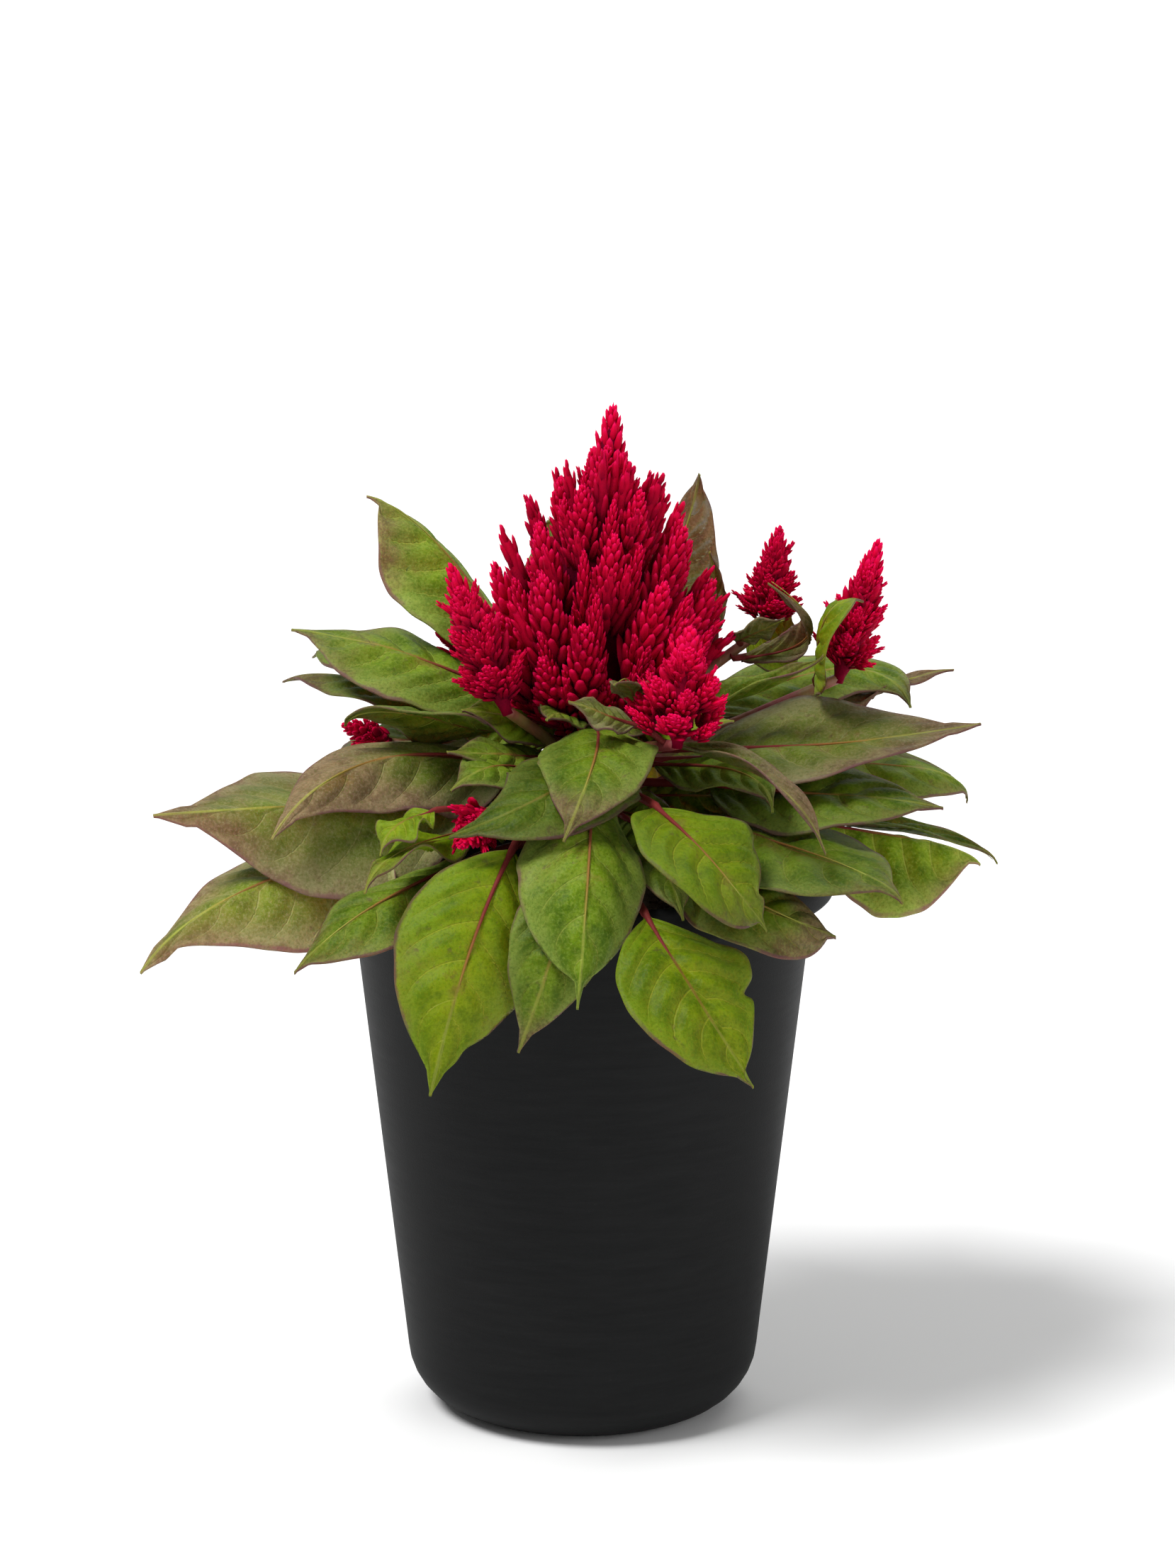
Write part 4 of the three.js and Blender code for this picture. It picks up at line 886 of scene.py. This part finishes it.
# A spike or a tongue in millimetres, up the Z axis: a soft core with lobes set round it in a spiral
def spikeMesh(kind, lobe, start):
    build = plumeBuild[kind]
    right, back, upward = (Vector(direction) for direction in ((1, 0, 0), (0, 1, 0), (0, 0, 1)))
    bm = bmesh.new()
    layer = bm.verts.layers.float_vector.new("bloom")
    bmesh.ops.create_uvsphere(bm, u_segments=build["sides"], v_segments=build["rings"], radius=1)
    for vert in bm.verts:
        share = (vert.co.z + 1) / 2
        reach = vert.co.xy.length
        flat = vert.co.xy / reach if reach > 0.01 else vert.co.xy
        vert.co.xy = flat * build["radius"] * spikeGirth(share * 0.98) * build["core"]
        vert.co.z = share * build["length"]
        # Rise climbs from the spike's base to its tip, so that the finish paints the lower spike darker as
        # painted shade
        vert[layer] = (share, 0.35 + 0.6 * share, 0)
    for index in range(build["lobes"]):
        part = (index + 0.5) / build["lobes"]
        share = plumeBuild["lobeStart"] + plumeBuild["lobeRun"] * part ** plumeBuild["lobeCrowding"]
        outward = turned(right, back, index * plumeBuild["goldenTurn"] + start)
        lean = math.radians(lerp(build["lowLean"], plumeBuild["highLean"], share) * random.uniform(0.8, 1.2))
        heading = turned(upward, outward, lean)
        across = outward.cross(heading).normalized()
        size = lerp(build["longest"], build["shortest"], share) * random.uniform(0.85, 1.15)
        size *= min(1, plumeBuild["tipSize"] + plumeBuild["tipGrowth"] * (1 - share))
        width = lerp(build["widest"], build["thinnest"], share) * random.uniform(0.85, 1.15)
        seat = outward * (build["radius"] * spikeGirth(share) * build["seat"])
        seat += upward * (share * build["length"] - size * plumeBuild["lobeSink"])
        shape = Matrix.Diagonal((width, width * plumeBuild["lobeDepth"], size, 1))
        place = placed(seat, across, heading.cross(across), heading) @ shape
        addCopy(bm, lobe, place, lambda bloom: (share, bloom.y, 0))
    return meshFrom(kind, bm)


random.seed(11)
lobe = lobeMesh()
spikeKinds = [spikeMesh("spike", lobe, turn * 1.3) for turn in range(3)]
tongueKinds = [spikeMesh("tongue", lobe, turn * 2.1) for turn in range(3)]
flameKinds = [spikeMesh("flame", lobe, turn * 1.7) for turn in range(3)]
toMetres = Matrix.Scale(mm, 4)


def addTongue(bm, seat, pointing, size, glow):
    shape = Matrix.Diagonal((size, size * random.uniform(0.7, 1), size * random.uniform(0.9, 1.3), 1))
    place = toMetres @ placed(seat, *crossAxes(pointing), pointing) @ shape
    kind = random.choice(tongueKinds)
    addCopy(bm, kind, place, bloomBetween(glow * 0.15, glow * 0.85, random.uniform(0, 1)))


# A spike from base to tip with its tongues. One with a side to face is a flattened flame
def addSpike(bm, base, tip, radius, turn, tongues, glow, facing=None):
    axis = tip - base
    heading = axis.normalized()
    across, up = crossAxes(heading)
    wide = radius / plumeBuild["spike"]["radius"]
    tall = axis.length / plumeBuild["spike"]["length"]
    shape = Matrix.Rotation(turn, 4, "Z") @ Matrix.Diagonal((wide, wide, tall, 1))
    if facing:
        across = facing.cross(heading).normalized()
        up = heading.cross(across)
        breadth, depth = wide * plumeBuild["flameBreadth"], wide * plumeBuild["flameDepth"]
        shape = Matrix.Diagonal((breadth, depth, tall, 1))
    place = toMetres @ placed(base, across, up, heading) @ shape
    kind = random.choice(flameKinds if facing else spikeKinds)
    addCopy(bm, kind, place, bloomBetween(glow * 0.05, glow, random.uniform(0, 1)))
    for index in range(tongues):
        share = lerp(*plumeBuild["tongueRun"], (index + random.uniform(0.2, 0.8)) / tongues)
        angle = index * plumeBuild["goldenTurn"] + turn + random.uniform(-0.3, 0.3)
        outward = turned(across, up, angle)
        pointing = turned(heading, outward, math.radians(random.uniform(*plumeBuild["tongueLean"])))
        size = random.uniform(0.8, 1.2) * (1.15 - 0.5 * share) * (0.45 + 0.4 * wide)
        seat = base + axis * share + outward * radius * plumeBuild["tongueSeat"]
        addTongue(bm, seat, pointing, size, glow)


def addPlumeCore(bm, plume, kind, base, axis):
    layer = bm.verts.layers.float_vector.new("bloom")
    foot = stems[plume["on"]]["radius"][1]
    coreShare = plumeBuild["coreShare"] * kind["core"]
    profile = [(-0.03, foot), (0.02, foot * 1.1)]
    profile += [(share, part * plume["spread"] * coreShare) for share, part in plumeBuild["core"]]
    along = axis.normalized()
    places = [placed((base + axis * share) * mm, *crossAxes(along), along) for share, reach in profile]

    # The core takes a low rise, which the finish paints in its darkest colours as painted shade inside the
    # plume
    def mark(ring, step):
        for vert in ring:
            vert[layer] = (kind["coreRise"], 0, 0)

    sweepTube(bm, places, [reach * mm for share, reach in profile], plumeBuild["coreSides"], mark)


# Loose tongues that fill the gaps between the rows
def addFillers(bm, plume, rows, base, axis):
    length, along = axis.length, axis.normalized()
    across, up = crossAxes(along)
    for filler in range(plumeBuild["fillers"]):
        place = random.random() * (len(rows) - 1)
        upper, lower = rows[int(place)], rows[int(place) + 1]
        row = {measure: lerp(upper[measure], lower[measure], place - int(place)) for measure in upper}
        outward = turned(across, up, random.uniform(0, 2 * math.pi))
        pointing = turned(along, outward, math.radians(row["lean"]))
        reach = plume["spread"] * row["reach"] * plumeBuild["fillerReach"]
        seat = base + along * length * (row["height"] - plumeBuild["fillerDrop"]) + outward * reach
        # Fillers in the gaps get a lower glow, painted a little darker as painted shade
        size, glow = random.uniform(*plumeBuild["fillerSize"]), plume["glow"] * random.uniform(0.7, 0.95)
        addTongue(bm, seat - pointing * plumeBuild["fillerDepth"], pointing, size, glow)


def makePlume(name, draw):
    plume = {**plumeDefaults, **plumes[name]}
    isFull = plume["rows"] == "full"
    kind = plumeKinds["full" if isFull else "slender"]
    rows = plumeRows[plume["rows"]]
    base = stemPoint(plume["on"], 1)
    axis = Vector(plume["tip"]) - base
    length, along = axis.length, axis.normalized()
    across, up = crossAxes(along)
    glow, tongues, between = plume["glow"], plumeBuild["tonguesPerSpike"], plumeBuild["between"]

    # A spike ends at a height and reach, and its root lies down its lean from there
    def spikeEnds(height, reach, lean, outward, span):
        end = base + along * (length * height) + outward * reach
        return end - turned(along, outward, lean) * (length * span), end

    bm = bmesh.new()
    addPlumeCore(bm, plume, kind, base, axis)
    leader, girth = base + axis * kind["leaderFoot"], plume["spike"] * kind["leaderGirth"]
    addSpike(bm, leader, Vector(plume["tip"]), girth, 0, 0, glow * 1.05, None if isFull else across)
    for index, row in enumerate(rows):
        count, height, span = row["count"], row["height"], row["length"]
        lean = math.radians(row["lean"] * (plumeBuild["upright"] if isFull else 1))
        broad = plumeBuild["broad"] * lerp(0.75, 1, min(1, index / 3))
        girth = plume["spike"] * (broad if isFull else plume["swell"])
        for spike in range(count):
            angle = 2 * math.pi * (spike + 0.5 * (index % 2) + 0.3 * (next(draw) - 0.5)) / count
            outward = turned(across, up, angle)
            reach = plume["spread"] * row["reach"] * (0.94 + 0.12 * next(draw))
            root, end = spikeEnds(height + 0.04 * (next(draw) - 0.5), reach, lean, outward, span)
            tuck = outward * plumeBuild["inset"]
            turn = 2 * math.pi * next(draw)
            addSpike(bm, root - tuck, end - tuck, girth, turn, tongues, glow, None if isFull else outward)
            # A shorter spike stands between this one and the next
            angle += math.pi / count + random.uniform(-0.15, 0.15)
            outward = turned(across, up, angle)
            lower = height - random.uniform(*between["drop"])
            nearer = reach * random.uniform(*between["reach"])
            root, end = spikeEnds(lower, nearer, lean, outward, span * between["length"])
            slimmer, turn = girth * random.uniform(*between["girth"]), random.uniform(0, 6.28)
            addSpike(bm, root, end, slimmer, turn, tongues - 1, glow * random.uniform(0.8, 1),
                     None if isFull else outward)
    if isFull:
        addFillers(bm, plume, rows, base, axis)
    bmesh.ops.recalc_face_normals(bm, faces=bm.faces)
    addPiece(name + "Florets", bm, "plume", name)


draw = seededRandom(41)
for name in plumes:
    makePlume(name, draw)
for mesh in [lobe, *spikeKinds, *tongueKinds, *flameKinds]:
    bpy.data.meshes.remove(mesh)
print("plumes made:", len(plumes))

pot = {"height": 131.5, "lipHeight": 9, "lipRadius": 58, "lipRound": 1.5, "lipStep": 0.5, "wall": 1.6,
       "heelRadius": 41, "heelRound": 15, "heelTurn": 86, "shoulderRadius": 53.4, "drains": 4,
       "drainRadius": 3, "drainReach": 17, "steps": 128}


def wallRadius(height):
    share = (height - pot["heelRound"]) / (pot["height"] - pot["lipHeight"] - pot["heelRound"])
    return lerp(pot["heelRadius"], pot["shoulderRadius"], share)


def spinProfile(bm, profile, steps):
    verts = [bm.verts.new((radius * mm, 0, height * mm)) for radius, height in profile]
    edges = [bm.edges.new(pair) for pair in zip(verts, verts[1:])]
    bmesh.ops.spin(bm, geom=verts + edges, axis=(0, 0, 1), cent=(0, 0, 0), steps=steps,
                   angle=2 * math.pi, use_merge=True)
    bmesh.ops.remove_doubles(bm, verts=bm.verts, dist=0.01 * mm)


# The rounded heel from the flat foot up to the wall, inset from the outside
def heelProfile(inset, steps=8):
    bend = pot["heelRound"] - inset
    centre = pot["heelRadius"] - pot["heelRound"]
    turns = [math.radians(pot["heelTurn"] * step / steps) for step in range(steps + 1)]
    return [(centre + bend * math.sin(t), pot["heelRound"] - bend * math.cos(t)) for t in turns]


def arc(centreRadius, centreHeight, radius, start, stop, steps=5):
    angles = [math.radians(lerp(start, stop, step / steps)) for step in range(steps + 1)]
    return [(centreRadius + radius * math.cos(a), centreHeight + radius * math.sin(a)) for a in angles]


def makePot():
    shoulder = pot["height"] - pot["lipHeight"]
    lip, edge, wall = pot["lipRadius"], pot["lipRound"], pot["wall"]
    outerWall = wallRadius(shoulder)
    innerWall = outerWall - wall
    profile = [(0, 0), *heelProfile(0)]
    profile += [(outerWall - 0.1, shoulder - 0.6), (outerWall + pot["lipStep"], shoulder)]
    profile += arc(lip - edge, shoulder + edge, edge, -90, 0)
    profile += arc(lip - edge, pot["height"] - edge, edge, 0, 180)
    profile += [(innerWall + 0.3, pot["height"] - 2.5 * edge), (innerWall, shoulder - wall)]
    profile += [*reversed(heelProfile(wall)), (0, wall)]
    bm = bmesh.new()
    spinProfile(bm, profile, pot["steps"])
    bmesh.ops.recalc_face_normals(bm, faces=bm.faces)
    piece = addPiece("nurseryPot", bm, "pot", "pot")
    cutters, radius = bmesh.new(), pot["drainRadius"] * mm
    for drain in range(pot["drains"]):
        turn = 2 * math.pi * (drain + 0.5) / pot["drains"]
        place = Vector((math.cos(turn), math.sin(turn), 0)) * pot["drainReach"] * mm
        bmesh.ops.create_cone(cutters, cap_ends=True, segments=24, radius1=radius, radius2=radius,
                              depth=12 * mm, matrix=Matrix.Translation(place))
    tool = addObject("drainTool", meshFrom("drainTool", cutters))
    drill = piece.modifiers.new("drains", "BOOLEAN")
    drill.object = tool
    drill.operation = "DIFFERENCE"
    cut = bpy.data.meshes.new_from_object(piece.evaluated_get(bpy.context.evaluated_depsgraph_get()))
    piece.modifiers.remove(drill)
    piece.data = cut
    cut.name = "nurseryPot"
    bpy.data.objects.remove(tool)


makePot()
print("pot made")

soil = {"top": 119, "mound": 1.2, "clearance": 0.3, "holeRadius": 3.9, "holeDepth": 26, "rings": 26,
        "steps": 96, "crumbs": 420, "crumbSize": (0.5, 1.7), "crumbJolt": 0.18, "crumbReach": 0.96,
        "bareRadius": 6}


def makeSoil():
    top, hole = soil["top"], soil["holeRadius"]
    inset = pot["wall"] + soil["clearance"]
    rim = wallRadius(top) - inset
    profile = [(0, inset), *heelProfile(inset), (rim, top - 0.6)]
    profile += [(lerp(rim - 0.3, hole, ring / soil["rings"]), top) for ring in range(soil["rings"] + 1)]
    profile += [(hole, top - soil["holeDepth"]), (0, top - soil["holeDepth"])]
    bm = bmesh.new()
    spinProfile(bm, profile, soil["steps"])
    for vert in bm.verts:
        if vert.co.z > (top - 0.3) * mm:
            reach = vert.co.xy.length / mm
            lumps = noise.fractal(vert.co * 90, 0.8, 2.1, 4) * 1.5 + noise.noise(vert.co * 420) * 0.5
            vert.co.z += (soil["mound"] * (1 - reach / rim) + lumps * smooth(rim - reach, 0, 5)) * mm
    random.seed(5)
    for crumb in range(soil["crumbs"]):
        reach = rim * soil["crumbReach"] * random.random() ** 0.5
        if reach < soil["bareRadius"]:
            continue
        turn = random.uniform(0, 2 * math.pi)
        size = random.uniform(*soil["crumbSize"])
        height = top + soil["mound"] * (1 - reach / rim) + size * 0.2
        place = Vector((reach * math.cos(turn), reach * math.sin(turn), height)) * mm
        breadth, depth = size * random.uniform(0.5, 1), size * random.uniform(0.4, 0.8)
        squash = Matrix.Diagonal((size * mm, breadth * mm, depth * mm, 1))
        matrix = Matrix.Translation(place) @ Matrix.Rotation(random.uniform(0, 6), 4, "Z") @ squash
        for vert in bmesh.ops.create_icosphere(bm, subdivisions=1, radius=1, matrix=matrix)["verts"]:
            jolt = Vector([random.uniform(-1, 1) for direction in range(3)])
            vert.co += jolt * size * soil["crumbJolt"] * mm
    bmesh.ops.recalc_face_normals(bm, faces=bm.faces)
    addPiece("pottingMix", bm, "soil", "soil")


makeSoil()
print("soil made")

# Studio: a pale floor, a white surround and three wide soft lights, each with its direction, power and angle
studio = {"floor": (0.9, 0.9, 0.9), "floorShade": (0.85, 0.85, 0.85), "floorSize": 15, "surround": 0.27,
          "lights": {"key": ((-0.55, -0.4, 1.1), 3.2, 24), "fill": ((0.9, -0.8, 0.5), 0.8, 40),
                     "crown": ((0.3, 0.9, 1.0), 1.0, 50)}}


def makeStudio():
    material, tree, shader = newFinish("floorPaint", Roughness=0.85, Specular_IOR_Level=0.1)
    shade = noiseAt(tree, objectPlace(tree), 3, 2)
    wire(shader, Base_Color=mixColours(shade * 0.05, studio["floor"], studio["floorShade"]))
    bm = bmesh.new()
    bmesh.ops.create_grid(bm, x_segments=2, y_segments=2, size=studio["floorSize"])
    floor = addObject("floor", meshFrom("floor", bm))
    floor.data.materials.append(material)
    world = bpy.context.scene.world or bpy.data.worlds.new("studio")
    bpy.context.scene.world = world
    world.use_nodes = True
    backdrop = world.node_tree.nodes["Background"]
    isSeen = addNode(world.node_tree, "ShaderNodeLightPath", {}, {}, "Is Camera Ray")
    strength = isSeen * (1 - studio["surround"]) + studio["surround"]
    world.node_tree.links.new(strength.socket, backdrop.inputs["Strength"])
    backdrop.inputs["Color"].default_value = (1, 1, 1, 1)
    for name, (direction, power, angle) in studio["lights"].items():
        light = bpy.data.lights.new(name, "SUN")
        light.energy = power
        light.angle = math.radians(angle)
        stand = addObject(name, light)
        stand.location = direction
        stand.rotation_euler = Vector(direction).to_track_quat("Z", "Y").to_euler()
    bpy.context.scene.view_settings.view_transform = "Standard"


makeStudio()
print("studio made")
